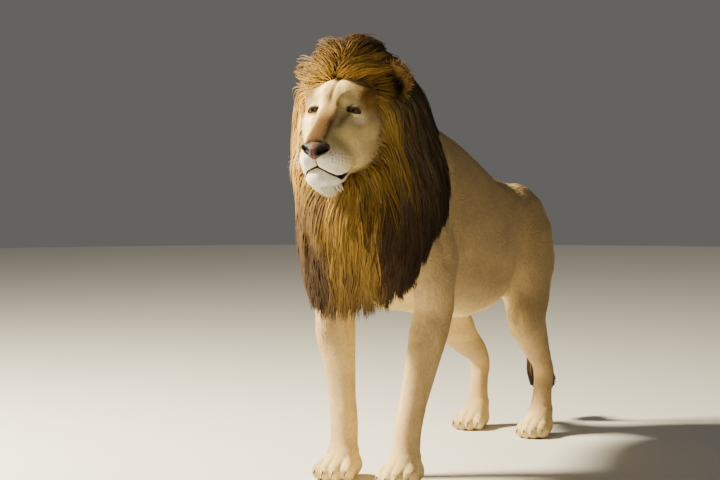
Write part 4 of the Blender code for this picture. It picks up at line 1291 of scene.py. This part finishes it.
def combed(roots, normals, lengths, over, seed, clump_size, steps):
    """Paths of hairs: each leaves its root, leans into the flow, and settles at its own height over
    the mane's shape.  Then hairs draw together towards the nearest leading hair, into locks."""
    random = np.random.default_rng(seed)
    count = len(roots)
    leaders = random.choice(count, max(4, count // clump_size), replace=False)
    gap = ((roots[:, None] - roots[leaders][None]) ** 2).sum(axis=2)
    leader = leaders[gap.argmin(axis=1)]
    over = 0.3 * over + 0.7 * over[leader]
    path = np.empty((steps, count, 3))
    path[0] = roots
    start, _ = outside_mane(roots)
    stray = unit(random.normal(size=(count, 3)))
    heading = unit(normals + 0.3 * stray)
    step = (lengths / (steps - 1))[:, None]
    for k in range(1, steps):
        share = k / (steps - 1)
        height, outward = outside_mane(path[k - 1])
        flow = mane_flow(path[k - 1]) + 0.11 * (0.5 * stray + stray[leader])
        flow = flow - outward * (flow * outward).sum(axis=1)[:, None]
        wanted = start * (1 - share) ** 1.5 + over * (1 - (1 - share) ** 1.5)
        rise = np.clip((wanted - height) / (step[:, 0] * 2.5), -0.8, 0.9)
        heading = unit(heading * 0.35 + unit(flow) * 0.65 + outward * rise[:, None] * 0.6)
        reached = path[k - 1] + heading * step
        height, outward = outside_mane(reached)
        reached = reached - outward * np.maximum(height - np.maximum(wanted, over) - 0.006, 0)[:, None]
        path[k] = kept_out(reached, FACE_ROOM)
    t = np.linspace(0, 1, steps)[:, None, None]
    pull = 0.82 * t ** 1.2 * (0.35 + 0.65 * random.random(count))[None, :, None]
    together = path[:, leader] - path
    path = path + together * pull
    sideways = unit(np.cross(normals, mane_flow(roots)))
    phase = (leader * 0.7548) % 1.0 * 2 * math.pi
    size = (0.35 + 0.65 * ((leader * 0.5698) % 1.0)) * lengths * 0.060
    wave = np.sin(phase[None] + t[..., 0] * 5.0) - np.sin(phase)[None]
    path = path + sideways[None] * (wave * size[None] * t[..., 0])[..., None]
    path[..., 2] -= 0.60 * np.maximum(path[..., 2] - PRESSED_ABOVE, 0)
    path[..., 0] -= 0.70 * np.sign(path[..., 0]) * np.maximum(np.abs(path[..., 0]) - PRESSED_BEYOND, 0)
    return path, leader


BAKE_PATCH = 0.003


def strand_mesh(name, path, facing, widths, colours, tips, patch, thick=0.42, soft=False):
    """Three-sided tapering strands along many paths, closed at the root and drawn to a point.

    A ring has a left, a right and a raised corner; the rings and the tip are joined by triangles.
    """
    steps, count = path.shape[:2]
    along = unit(np.gradient(path, axis=0))
    side = unit(np.cross(along, facing[None]))
    raised = np.cross(side, along)
    share = np.linspace(0, 1, steps)
    taper = np.interp(share, [0, 0.15, 0.6, 1], [0.55, 1.0, 0.85, 0.0])
    profile = (taper[:, None] * widths[None])[..., None]
    corners = np.stack(
        (path - side * profile * 0.5, path + side * profile * 0.5, path + raised * profile * thick), axis=2
    )
    rings = corners[:-1].transpose(1, 0, 2, 3).reshape(count, -1, 3)
    points = np.concatenate((rings, path[-1][:, None]), axis=1)
    size = points.shape[1]
    quads = grid_faces(steps - 1, 3)
    last, tip = (steps - 2) * 3, size - 1
    point = np.array([[last, last + 1, tip], [last + 1, last + 2, tip], [last + 2, last, tip]])
    tris = np.concatenate((quads[:, [0, 1, 2]], quads[:, [0, 2, 3]], [[0, 2, 1]], point))[:, ::-1]
    faces = (tris[None] + (np.arange(count) * size)[:, None, None]).reshape(-1, 3)
    mesh = mesh_from(name, points.reshape(-1, 3), faces)
    s = np.append(np.repeat(share[:-1], 3), 1.0)
    blend = (s[None, :] ** 1.6)[..., None]
    rgb = colours[:, None] * (1 - blend) + tips[:, None] * blend
    paint(mesh, "coat", rgb.reshape(-1, 3))
    around = np.append(np.tile([-0.5, 0.5, 0.0], steps - 1), 0.0)
    hair = np.empty((count, size, 3), np.float32)
    hair[..., 0] = around[None] + 7.3 * np.arange(count)[:, None] % 61
    hair[..., 1] = s[None] * 0.35
    hair[..., 2] = 0.31 * np.arange(count)[:, None] % 17
    mesh.attributes.new("hair", "FLOAT_VECTOR", "POINT").data.foreach_set("vector", hair.ravel())
    uv_points = patch[:, None] + BAKE_PATCH * np.stack((around, s - 0.5), axis=1)[None]
    layer = mesh.uv_layers.new(name="OFBake")
    layer.data.foreach_set("uv", uv_points.reshape(-1, 2)[faces.ravel()].astype(np.float32).ravel())
    mesh.shade_smooth()
    if soft:
        lean = side[:-1].transpose(1, 0, 2)[:, :, None] * np.array((-0.45, 0.45, 0.0))[None, None, :, None]
        upright = facing[:, None, None] + lean
        upright = np.concatenate((upright.reshape(count, -1, 3), facing[:, None]), axis=1)
        mesh.normals_split_custom_set_from_vertices(unit(upright).reshape(-1, 3).tolist())
    return mesh


def round_patch(points):
    """Unwraps the mane's barrel: the turn round its upright axis, and the height."""
    turn = np.arctan2(points[:, 0] + 0.02, -(points[:, 1] + 0.50)) / (2 * math.pi) + 0.5
    height = (points[:, 2] - 0.40) / 0.95
    return np.stack((turn, height), axis=1) * 0.98 + 0.01


ROOT_LEVELS = 600


def mane_roots(count, low, high, keep, seed):
    """Places spread evenly over the mane's barrel between two heights, some way under its surface."""
    random = np.random.default_rng(seed)
    tries = count * 9
    levels = np.linspace(low, high, ROOT_LEVELS)
    radius = np.abs(on_mane(0.0, levels)[:, 0] - on_mane(math.pi, levels)[:, 0]) / 2
    area = (radius + 0.004) * np.hypot(np.gradient(levels), np.gradient(radius))
    z = np.interp(random.random(tries), np.cumsum(area) / area.sum(), levels)
    turn = random.uniform(0, 2 * math.pi, tries)
    points = on_mane(turn, z)
    height, outward = outside_mane(points)
    drop = random.uniform(0.016, 0.042, tries)
    points = points - outward * (height + drop)[:, None]
    fine = keep(points) & ~in_trunk(points) & ~in_head(points) & (ellipsoid_share(points, FACE_ROOM) > 0.97)
    fine &= (ellipsoid_share(points, EAR_WINDOWS[0]) > 1) & (ellipsoid_share(points, EAR_WINDOWS[1]) > 1)
    chosen = np.flatnonzero(fine)[:count]
    return points[chosen], outward[chosen]


def clear_of_ears(path, share=0.95):
    """True for each hair that stays out of both windows before the ears, drawn in by a share."""
    clear = np.ones(path.shape[1], bool)
    for window in EAR_WINDOWS:
        for places in path[1:]:
            clear &= ellipsoid_share(places, window) > share
    return clear


HEM = np.array((  # sideways, and how low the tips of the bib's front reach there
    (-0.160, 0.565),
    (-0.110, 0.510),
    (-0.040, 0.462),
    (0.040, 0.482),
    (0.100, 0.510),
    (0.160, 0.550),
    (0.210, 0.610),
))


def above_hem(roots, random):
    """How far each root stands over the mane's ragged lower edge, which rises towards the back."""
    low = np.interp(roots[:, 0], HEM[:, 0], HEM[:, 1]) + 0.12 * ramp(roots[:, 1], -0.64, -0.48)
    return roots[:, 2] - low + random.normal(0, 0.010, len(roots))


def both_sides(points):
    """All of the roots."""
    return np.ones(len(points), bool)


def left_side(points):
    """The roots left of the middle line."""
    return points[:, 0] > 0


def right_side(points):
    """The roots right of the middle line, and those on it."""
    return points[:, 0] <= 0


MANE_PIECES = (  # name, node, slot, hairs, steps, lowest, highest, length, which roots, seed
    ("mane_crown_locks", "mane_crown", "gold_mane", 8700, 5, 1.095, MANE_TOP, 0.130, both_sides, 11),
    ("mane_left_locks", "mane_left", "dark_mane", 6900, 6, 0.790, 1.110, 0.160, left_side, 12),
    ("mane_right_locks", "mane_right", "dark_mane", 5200, 6, 0.790, 1.110, 0.160, right_side, 13),
    ("mane_bib_locks", "mane_bib", "gold_mane", 6900, 6, 0.560, 0.860, 0.140, both_sides, 14),
)
mane_material = coat_material("mane hair", (1.0, 1.0, 1.0), 5.0, 0.62, 0.25, 0.9, gloss=0.14, hairs=True)
wool_material = coat_material("mane wool", (1.0, 1.0, 0.15), 260.0, 0.8, 0.6, 0.8)
for name, node, slot, count, steps, low, high, length, keep, seed in MANE_PIECES:
    random = np.random.default_rng(seed + 100)
    roots, normals = mane_roots(count, low, high, keep, seed)
    count = len(roots)
    lengths = length * random.uniform(0.65, 1.25, count)
    short = (1 - ramp(ellipsoid_share(roots, FACE_ROOM), 1.0, 1.4)) * ramp(roots[:, 2], 0.88, 0.98)
    lengths = np.clip(lengths * (1 - 0.45 * short), 0.0, np.maximum(above_hem(roots, random), 0.025))
    stray = random.random(count) < 0.13
    over = random.uniform(-0.016, 0.003, count) + random.uniform(0.004, 0.018, count) * stray
    path, leader = combed(roots, normals, lengths, over, seed, 16, steps)
    clear = clear_of_ears(path)
    path, leader, roots, normals = path[:, clear], leader[clear], roots[clear], normals[clear]
    count = len(roots)
    chance = 0.65 * (leader * 0.61803 % 1.0) + 0.35 * random.random(count)
    root_colour = mane_colour(roots, chance) * random.uniform(0.75, 1.2, count)[:, None]
    tip_dark = 0.30 + 0.65 * ramp(roots[:, 2] - 0.3 * roots[:, 0], 1.12, 1.18)
    tip_dark = tip_dark + 0.45 * (1 - ramp(roots[:, 2], 0.5, 0.75))
    tip_colour = mixed(root_colour, MANE_BROWN * 0.8, np.clip(tip_dark * (1.1 - 0.5 * chance), 0, 0.95))
    widths = random.uniform(0.0018, 0.0042, count) * (0.8 + 0.04 * steps)
    mesh = strand_mesh(name, path, normals, widths, root_colour, tip_colour, round_patch(roots), soft=True)
    put(name, mesh, mane_material, slot, node)


def spread_over(mesh, count, weight_at, seed):
    """Places at random within a mesh's faces, chosen by area times a weight: points and normals."""
    random = np.random.default_rng(seed)
    mesh.calc_loop_triangles()
    corner = np.empty(len(mesh.loop_triangles) * 3, np.int32)
    mesh.loop_triangles.foreach_get("vertices", corner)
    corner = corner.reshape(-1, 3)
    points, normals = coordinates(mesh), vertex_normals(mesh)
    a, b, c = (points[corner[:, k]] for k in range(3))
    area = np.linalg.norm(np.cross(b - a, c - a), axis=1) / 2
    middle = (a + b + c) / 3
    chance = area * weight_at(middle, unit(normals[corner].mean(axis=1)))
    picked = random.choice(len(corner), count, p=chance / chance.sum())
    u, v = random.random((2, count, 1))
    flip = u + v > 1
    u, v = np.where(flip, 1 - u, u), np.where(flip, 1 - v, v)
    first, second, third = corner[picked].T

    def within(values):
        """The values of three corners, mixed by where the place lies between them."""
        return values[first] * (1 - u - v) + values[second] * u + values[third] * v

    return within(points), unit(within(normals))


def chin_share(points):
    """1 on the underside of the chin, where the beard starts."""
    _, forward, up = head_frame(points).T
    clear = np.abs(mouth_gap(folded(points))[0]) > 0.016
    return ramp(-up, 0.186, 0.200) * ramp(forward, 0.040, 0.095) * clear * (points[:, 2] > 0.80)


def frill_weight(points, normals):
    """A band of skin round the face: brow, temples, cheeks and throat."""
    share = ellipsoid_share(points, FACE_ROOM)
    _, forward, up = head_frame(points).T
    band = (share > 1.04) & (share < 1.50) & (forward > -0.21) & (up > -0.26) & (points[:, 2] > 0.80)
    corner = bump_at(folded(points), (0.058, 0.020, -0.172), (0.026, 0.036, 0.018))
    return np.where(band, 0.35 + ramp(share, 1.02, 1.20), chin_share(points) * 0.9) * (corner < 0.3)


# The frill of short hair that joins the face to the mane.
FRILL_HAIRS, FRILL_STEPS = 5200, 5
random = np.random.default_rng(31)
roots, normals = spread_over(skin_mesh, FRILL_HAIRS, frill_weight, 31)
share = ellipsoid_share(roots, FACE_ROOM)
chin = chin_share(roots)
lengths = (0.018 + 0.052 * ramp(share, 1.05, 1.35)) * random.uniform(0.6, 1.3, FRILL_HAIRS)
lengths = lengths * (1 - 0.72 * chin)
height, _ = outside_mane(roots)
over = np.minimum(height, 0) * 0.4 + random.uniform(-0.006, 0.010, FRILL_HAIRS)
path, leader = combed(roots, normals, lengths, over, 31, 8, FRILL_STEPS)
clear = clear_of_ears(path, 0.74)
chance = 0.6 * (leader * 0.61803 % 1.0) + 0.4 * random.random(FRILL_HAIRS)
gold = mane_colour(roots, chance * 0.9) * random.uniform(0.8, 1.2, FRILL_HAIRS)[:, None]
cream = coat_colour(roots)
root_colour = mixed(cream, gold, ramp(share, 1.04, 1.25) * (1 - chin))
gold = mixed(gold, CREAM, chin * 0.8)
widths = (0.0013 + 0.0015 * ramp(share, 1.05, 1.3) * (1 - chin)) * random.uniform(0.8, 1.3, FRILL_HAIRS)
path, normals, widths, roots = path[:, clear], normals[clear], widths[clear], roots[clear]
mesh = strand_mesh(
    "frill", path, normals, widths, root_colour[clear], gold[clear], round_patch(roots), soft=True
)
put("mane_frill", mesh, mane_material, "gold_mane")

points, faces = wool()
wool_mesh = mesh_from("wool", points, faces)
random = np.random.default_rng(15)
# the wool takes the mane's colours darkened to 0.45: painted shade under the locks
paint(wool_mesh, "coat", mane_colour(points, random.random(len(points))) * 0.45)
put("mane_wool", wool_mesh, wool_material, "dark_mane")

# ------------------------------------------------------------------ short coat
# Flat-lying hair in small overlapping tufts, longest on the belly and finest on the face and feet.
# Each tuft is a flattened spike whose root is just under the skin.
HAIR_SOURCE = on_head(0, 0.155, -0.090)


def coat_lie(points, normals):
    """The way the coat runs: back from the nose over face and trunk, down the legs, forward on the toes."""
    x, y, z = points.T
    head = ramp(head_frame(points)[:, 1], -0.20, -0.10) * (z > 0.78)
    leg = (1 - ramp(z, 0.46, 0.66)) * ramp(np.abs(x), 0.03, 0.07)
    tail = ramp(y, 0.70, 0.76) * (z < 0.78)
    paw = 1 - ramp(z, 0.05, 0.09)
    down = np.array((0, 0.25, -1.0))
    lie = np.array((0, 1.0, -0.35)) + np.array((0, 0, -1.6)) * ramp(y, 0.42, 0.62)[:, None]
    from_nose = unit(points - HAIR_SOURCE + np.array((0, 0.03, 0)))
    for share, way in ((leg, down), (tail, down), (paw, np.array((0, -0.9, -0.4))), (head, from_nose)):
        lie = lie * (1 - share)[:, None] + way * share[:, None]
    return unit(lie - normals * (lie * normals).sum(axis=1)[:, None])


def tuft_paths(roots, normals, lengths, stand, seed, steps=3, sweep=0.09):
    """Short arcs: out of the skin, over, and back towards it, along the lie with a little waywardness."""
    random = np.random.default_rng(seed)
    lie = coat_lie(roots, normals)
    aside = np.cross(normals, lie) * random.normal(0, sweep, len(roots))[:, None]
    run = unit(lie + aside)
    t = np.linspace(0, 1, steps)[:, None, None]
    rise = np.sin(t * math.pi * 0.80) * stand[None, :, None]
    path = roots[None] + run[None] * t * lengths[None, :, None] + normals[None] * (rise - 0.0008)
    path[..., 2] = np.maximum(path[..., 2], 0.0012)
    return path


def body_patch(points):
    """Unwraps the body as charts: head and trunk by turn and length, each leg by turn and height."""
    x, y, z = points.T
    leg = (z < 0.52) & (np.abs(x) > 0.03) & (y < 0.80)
    fore = y < 0.1
    turn = np.arctan2(x, z - 0.70) / (2 * math.pi) + 0.5
    trunk = np.stack((turn * 0.98, 0.48 + 0.5 * (y + 1.0) / 2.1), axis=1)
    axis_x = np.where(x > 0, 0.125, -0.125)
    axis_y = np.where(fore, -0.45, 0.56 + np.where(x < 0, 0.10, 0.0))
    around = np.arctan2(x - axis_x, y - axis_y) / (2 * math.pi) + 0.5
    chart = np.where(x > 0, 0.0, 0.25) + np.where(fore, 0.0, 0.5)
    legs = np.stack((chart + around * 0.24, z / 0.52 * 0.45), axis=1)
    return np.where(leg[:, None], legs, trunk) * 0.98 + 0.01


def face_patch(points):
    """Unwraps the head round its own length: turn by distance back from the nose."""
    q = head_frame(points)
    turn = np.arctan2(q[:, 0], q[:, 2] + 0.06) / (2 * math.pi) + 0.5
    return np.stack((turn, (0.17 - q[:, 1]) / 0.40), axis=1) * 0.98 + 0.01


def hidden(points):
    """Where no short coat is needed: inside the mane and on the soles."""
    height, _ = outside_mane(points)
    under = (height < -0.030) & ~on_face(points)
    return under | (points[:, 2] < 0.004)


def body_length(points):
    """Hair length on the body: short on legs and feet, long under the belly."""
    x, y, z = points.T
    length = 0.024 - 0.010 * (1 - ramp(z, 0.30, 0.50)) - 0.006 * (1 - ramp(z, 0.07, 0.12))
    belly = ramp(0.52 - z, 0.0, 0.08) * (1 - ramp(np.abs(x), 0.06, 0.13)) * (np.abs(y) < 0.35)
    return length + 0.014 * belly


def face_length(points):
    """Hair length on the head: shortest on the nose, longer on the chin and towards the mane."""
    q = folded(points)
    length = 0.0065 + 0.010 * ramp(ellipsoid_share(points, FACE_ROOM), 0.82, 1.05)
    length = length + 0.010 * bump_at(q, (0.0, 0.115, -0.200), (0.050, 0.040, 0.028))
    length = length + 0.018 * bump_at(q, (0.098, -0.035, 0.048), (0.034, 0.065, 0.040))
    return length - 0.002 * bump_at(q, (0.0, 0.13, -0.08), (0.05, 0.05, 0.05))


SHOULDER_BLEND = (-0.32, -0.12)
LOIN_BLEND = (0.24, 0.46)


def body_weight(points, normals):
    """How thickly the body's tufts stand: twice as thickly on the feet, and none on the face."""
    weight = 1.0 + 1.2 * (points[:, 2] < 0.12)
    return np.where(hidden(points) | on_face(points), 0.0, weight)


def front_weight(points, normals):
    """The body's weight ahead of the shoulder blend."""
    return body_weight(points, normals) * (1 - ramp(points[:, 1], *SHOULDER_BLEND))


def middle_weight(points, normals):
    """The body's weight between the shoulder blend and the loin blend."""
    y = points[:, 1]
    return body_weight(points, normals) * ramp(y, *SHOULDER_BLEND) * (1 - ramp(y, *LOIN_BLEND))


def hind_weight(points, normals):
    """The body's weight behind the loin blend."""
    return body_weight(points, normals) * ramp(points[:, 1], *LOIN_BLEND)


def face_weight(points, normals):
    """Even over the face, but none on nose leather and lips, nor where a tuft would cross an eye."""
    right, forward, up = folded(points).T
    bare = ((right / 0.040) ** 2 + ((up + 0.096) / 0.030) ** 2 < 1) & (forward > 0.135)
    for share in (0.0, 0.4, 0.8, 1.2, 1.6):
        along = points + coat_lie(points, normals) * (share * face_length(points))[:, None]
        bare |= lips(folded(along)) > 0.12
        for side in (1, -1):
            near = from_eye(along, side) < 0.030
            bare |= near & (inside_lids(along, side) > -0.0068 + 0.0018 * min(share, 1))
    allowed = on_face(points) & (ellipsoid_share(points, FACE_ROOM) < 1.30)
    return np.where(allowed & ~bare, 1.0, 0.0)


def tufts(name, count, weight, length_at, width, stand, patch_at, seed):
    """One piece of short coat: places, arcs, and flattened spikes in the colours painted on the skin,
    painted shade included.
    """
    random = np.random.default_rng(seed)
    roots, normals = spread_over(skin_mesh, count, weight, seed)
    lengths = length_at(roots) * random.uniform(0.7, 1.25, count)
    size = np.minimum(lengths / lengths.mean(), 1.35)
    path = tuft_paths(roots, normals, lengths, stand * size, seed)
    widths = width * size * random.uniform(0.8, 1.2, count)
    uneven = 0.05 + 0.07 * on_face(roots)
    colour = coat_colour(roots) * (1 + uneven * random.normal(size=count)).clip(0.75, 1.2)[:, None]
    patch = patch_at(roots)
    piece = strand_mesh(name, path, normals, widths, colour * 0.94, colour * 1.05, patch, 0.22, soft=True)
    put(name, piece, skin_material, "short_coat")


BODY_TUFTS, FACE_TUFTS = 14500, 15500  # in each of the three body pieces, and on the face
tufts("coat_front", BODY_TUFTS, front_weight, body_length, 0.0032, 0.0014, body_patch, 21)
tufts("coat_middle", BODY_TUFTS, middle_weight, body_length, 0.0034, 0.0014, body_patch, 22)
tufts("coat_hind", BODY_TUFTS, hind_weight, body_length, 0.0032, 0.0013, body_patch, 23)
tufts("coat_face", FACE_TUFTS, face_weight, face_length, 0.0013, 0.0006, face_patch, 24)

# ------------------------------------------------------------------ ear hair
# Stiff golden fringe round each rim, thinner in the bowl, with dark hairs in clumps.
# Each hair leans outward from the middle of the ear.
EAR_TUFTS = 1150


def ear_hair(word, side, centre, seed):
    """Short spikes that lean outward from the middle of the cup, longer along its upper rim."""
    random = np.random.default_rng(seed)
    across, high, _ = ear_axes(side)

    def on_cup(points):
        """How far across and up the cup each point lies: 1 at its rim."""
        d = points - centre
        return d @ across / EAR_HALF_WIDTH, d @ high / EAR_HALF_HEIGHT

    def rim_weight(points, normals):
        """How thickly the hairs stand: most at the rim and in the upper half."""
        wide, tall = on_cup(points)
        return 0.40 + 2.5 * ramp(np.hypot(wide, tall), 0.68, 0.90) + 1.2 * ramp(tall, 0.0, 0.5)

    roots, normals = spread_over(ears[word], EAR_TUFTS, rim_weight, seed)
    wide, tall = on_cup(roots)
    reach = np.hypot(wide, tall)
    run = unit(wide[:, None] * across + tall[:, None] * high + 0.55 * random.normal(size=(EAR_TUFTS, 3)))
    run = unit(run + normals * 0.25)
    lengths = 0.014 + 0.008 * ramp(reach, 0.70, 1.0) * ramp(tall, -0.8, 0.4)
    lengths = lengths * random.uniform(0.5, 1.4, EAR_TUFTS)
    t = np.linspace(0, 1, 4)[:, None, None]
    path = roots[None] + run[None] * t * lengths[None, :, None] + normals[None] * 0.003 * t * (1 - t)
    clump = np.sin(wide * 9 + 2) * np.sin(tall * 11 + 1) + random.normal(0, 0.3, EAR_TUFTS)
    # the hairs take the cup's colours, with the painted shade of the bowl and the painted light at its top
    colour = mixed(ear_colour(roots, side, centre), EAR_DARK * 2.0, ramp(clump, 0.1, 0.7) * 0.65)
    widths = random.uniform(0.0014, 0.0028, EAR_TUFTS)
    patch = np.stack((wide, tall), axis=1) * 0.42 + 0.5
    mesh = strand_mesh("ear hair", path, normals, widths, colour, colour * 1.25, patch, 0.3)
    put("ear_" + word + "_hair", mesh, mane_material, "short_coat")


ear_hair("left", *EAR_PLACES["left"], 41)
ear_hair("right", *EAR_PLACES["right"], 42)

# ------------------------------------------------------------------ tail tuft
# A brush of coarse black hair round the end of the tail, which hangs and curls back a little.
# The hairs start on the tail's last third and run along it, thickest two thirds of the way down.
TUFT_PATH = TAIL_BASE + np.array((
    (0.018, 0.185, -0.470),
    (0.020, 0.205, -0.515),
    (0.022, 0.238, -0.568),
    (0.023, 0.285, -0.606),
    (0.023, 0.340, -0.622),
    (0.022, 0.392, -0.616),
))
TUFT_REACH = (0.017, 0.021, 0.034, 0.042, 0.034, 0.006)
TUFT_HAIRS = 1100
random = np.random.default_rng(51)
t = np.linspace(0, 1, 7)[:, None]
first = random.uniform(0.0, 0.50, TUFT_HAIRS)
place = np.clip(first + t * random.uniform(0.35, 0.55, TUFT_HAIRS), 0, 1) * (len(TUFT_PATH) - 1)
knots = np.arange(len(TUFT_PATH))
middle = np.stack([np.interp(place, knots, TUFT_PATH[:, k]) for k in range(3)], axis=-1)
reach = np.interp(place, knots, TUFT_REACH) * (0.45 + 0.55 * random.random(TUFT_HAIRS) ** 0.5)
reach = reach * np.where(t < 0.01, 0.55, 1.0)
turn = random.uniform(0, 2 * math.pi, TUFT_HAIRS)
round_out = np.stack((np.cos(turn), 0.55 * np.sin(turn), 0.83 * np.sin(turn)), axis=-1)
path = middle + reach[..., None] * round_out[None]
path = path + random.normal(0, 0.002, path.shape) * t[..., None]
shade = random.uniform(0.7, 1.6, TUFT_HAIRS)[:, None]
brown = mixed(MANE_BROWN, TUFT_BLACK, ramp(first, 0.0, 0.3))
brown = mixed(brown, TAWNY, 1 - ramp(first, 0.0, 0.08)) * shade
patch = np.stack((turn / (2 * math.pi), first), axis=1) * 0.9 + 0.05
widths = random.uniform(0.002, 0.004, TUFT_HAIRS)
mesh = strand_mesh("tail tuft", path, round_out, widths, brown, brown * 0.7, patch)
put("tail_tuft_hair", mesh, mane_material, "dark_mane", "tail_tuft")

# ------------------------------------------------------------------ whiskers
# Stiff white bristles in rows from each whisker pad, drooping a little at their tips.
# They are translucent horn, so they look a little yellow in places.
WHISKER_WHITE = (0.80, 0.76, 0.68)
WHISKER_YELLOW = (0.62, 0.56, 0.46)


def horn_material(name, low, high, noise, roughness, bump=0.0):
    """Two tones of horn, mixed by a fine noise that may also raise the surface."""
    material, w, shader = new_material(name, {"Roughness": roughness})
    place = w.node("ShaderNodeTexCoord").outputs["Object"]
    mottle = w.node("ShaderNodeTexNoise", {"Vector": place, **noise}).outputs["Fac"]
    tone = w.node("ShaderNodeMix", {"Factor": mottle, 6: (*low, 1), 7: (*high, 1)}, data_type="RGBA")
    w.tree.links.new(tone.outputs[2], shader.inputs["Base Color"])
    if bump:
        w.bump(shader, mottle, bump, 0.001)
    return material


whiskers = []
for side in (1, -1):
    for row in range(3):
        for spot in range(4):
            random = np.random.default_rng(100 + row * 7 + spot * 31 + (side > 0))
            base = np.array((side * (0.044 + 0.004 * row), 0.128 - 0.014 * spot, -0.116 - 0.011 * row))
            length = 0.040 + 0.009 * spot + random.uniform(-0.008, 0.008)
            ahead = -0.18 - 0.10 * spot + random.uniform(-0.1, 0.1)
            run = unit(np.array((side * 0.92, ahead, -0.10 - 0.06 * row)))
            t = np.linspace(0, 1, 9)[:, None]
            q = base + run * t * length + np.array((0, -0.10, -0.28)) * (t * length) ** 2 / 0.09
            radii = 0.00017 * (1 - t[:, 0]) ** 0.7 + 0.00005
            whiskers.append(loft([(c, r, r) for c, r in zip(on_head_many(q), radii)], 6))
whisker_material = horn_material("whisker bristle", WHISKER_WHITE, WHISKER_YELLOW, {"Scale": 90.0}, 0.35)
put("whiskers", joined("whiskers", whiskers), whisker_material, "short_coat")

# ------------------------------------------------------------------ claws
# Dark horn hooks, drawn in so that only their tips show between the toes' hair.
# Each is a short curved cone with faint layers in the horn.
CLAW_HORN = (0.050, 0.036, 0.028)
CLAW_PALE = (0.25, 0.19, 0.14)
CLAW_RADII = (0.0030, 0.0031, 0.0028, 0.0019, 0.0005)
CLAW_PATH = (  # how far back and up from the toe's front
    (0.016, 0.003),
    (0.008, 0.003),
    (0.002, -0.001),
    (-0.0015, -0.007),
    (0.0005, -0.012),
)
claws = []
for paw in FORE_PAWS + HIND_PAWS:
    for x, y, z in toe_places(**paw):
        front = y - 0.215 * paw["length"]
        path = [(x, front + back, z + rise) for back, rise in CLAW_PATH]
        claws.append(loft([(c, r * 0.8, r) for c, r in zip(path, CLAW_RADII)], 12))
claw_layers = {"Scale": 260.0, "Detail": 3.0}
claw_material = horn_material("claw horn", CLAW_HORN, CLAW_PALE, claw_layers, 0.32, 0.2)
put("claws", joined("claws", claws), claw_material, "short_coat")

# ------------------------------------------------------------------ studio
# Not part of the lion: a wide pale floor, a warm key light from its right with a weak fill opposite,
# and the camera.
AIM = np.array((-0.2010, -0.1511, 0.659))
CAMERA_AZIMUTH = math.radians(22)
CAMERA_HEIGHT = math.radians(4)
CAMERA_DISTANCE = 9.0
FOCAL_LENGTH = 150.6
LIT_PLACE = np.array((0, -0.3, 0.7))
FLOOR_RADIUS, FLOOR_SIDES = 9.0, 64
FLOOR_HEIGHT = -0.0005


def seen_from(azimuth, height):
    """The direction from the lion to a place at this azimuth and height."""
    level = math.cos(height)
    return np.array((math.sin(azimuth) * level, -math.cos(azimuth) * level, math.sin(height)))


def pointed(obj, place, aim):
    """Sets a lamp or a camera at a place, looking at the aim."""
    obj.location = Vector(place)
    obj.rotation_mode = "QUATERNION"
    obj.rotation_quaternion = Vector(np.array(aim) - np.array(place)).to_track_quat("-Z", "Y")


lens = bpy.data.cameras.new("camera")
lens.sensor_width = 36.0
lens.lens = FOCAL_LENGTH
camera = shown("camera", lens)
pointed(camera, AIM + seen_from(CAMERA_AZIMUTH, CAMERA_HEIGHT) * CAMERA_DISTANCE, AIM)
bpy.context.scene.camera = camera


def area_light(name, azimuth, height, distance, size, power, colour):
    """A round soft light that looks at the lion's middle."""
    light = bpy.data.lights.new(name, "AREA")
    light.shape = "DISK"
    light.size = size
    light.energy = power
    light.color = colour
    pointed(shown(name, light), LIT_PLACE + seen_from(azimuth, height) * distance, LIT_PLACE)


area_light("key", math.radians(-68), math.radians(38), 4.0, 0.9, 1060, (1.0, 0.89, 0.64))
area_light("fill", math.radians(70), math.radians(35), 5.0, 3.0, 9, (1.0, 0.98, 0.92))
world = bpy.data.worlds.new("studio")
world.use_nodes = True
world.node_tree.nodes["Background"].inputs["Color"].default_value = (1.0, 0.985, 0.93, 1.0)
world.node_tree.nodes["Background"].inputs["Strength"].default_value = 0.13
bpy.context.scene.world = world

turn = np.arange(FLOOR_SIDES) * 2 * math.pi / FLOOR_SIDES
rim = np.stack((np.cos(turn) * FLOOR_RADIUS, np.sin(turn) * FLOOR_RADIUS, 0 * turn + FLOOR_HEIGHT), axis=1)
floor_mesh = bpy.data.meshes.new("floor")
floor_mesh.from_pydata(rim.tolist(), [], [list(range(FLOOR_SIDES))])
floor_material, _, _ = new_material("pale floor", {"Base Color": (0.72, 0.71, 0.66, 1), "Roughness": 0.9})
floor_mesh.materials.append(floor_material)
shown("floor", floor_mesh)
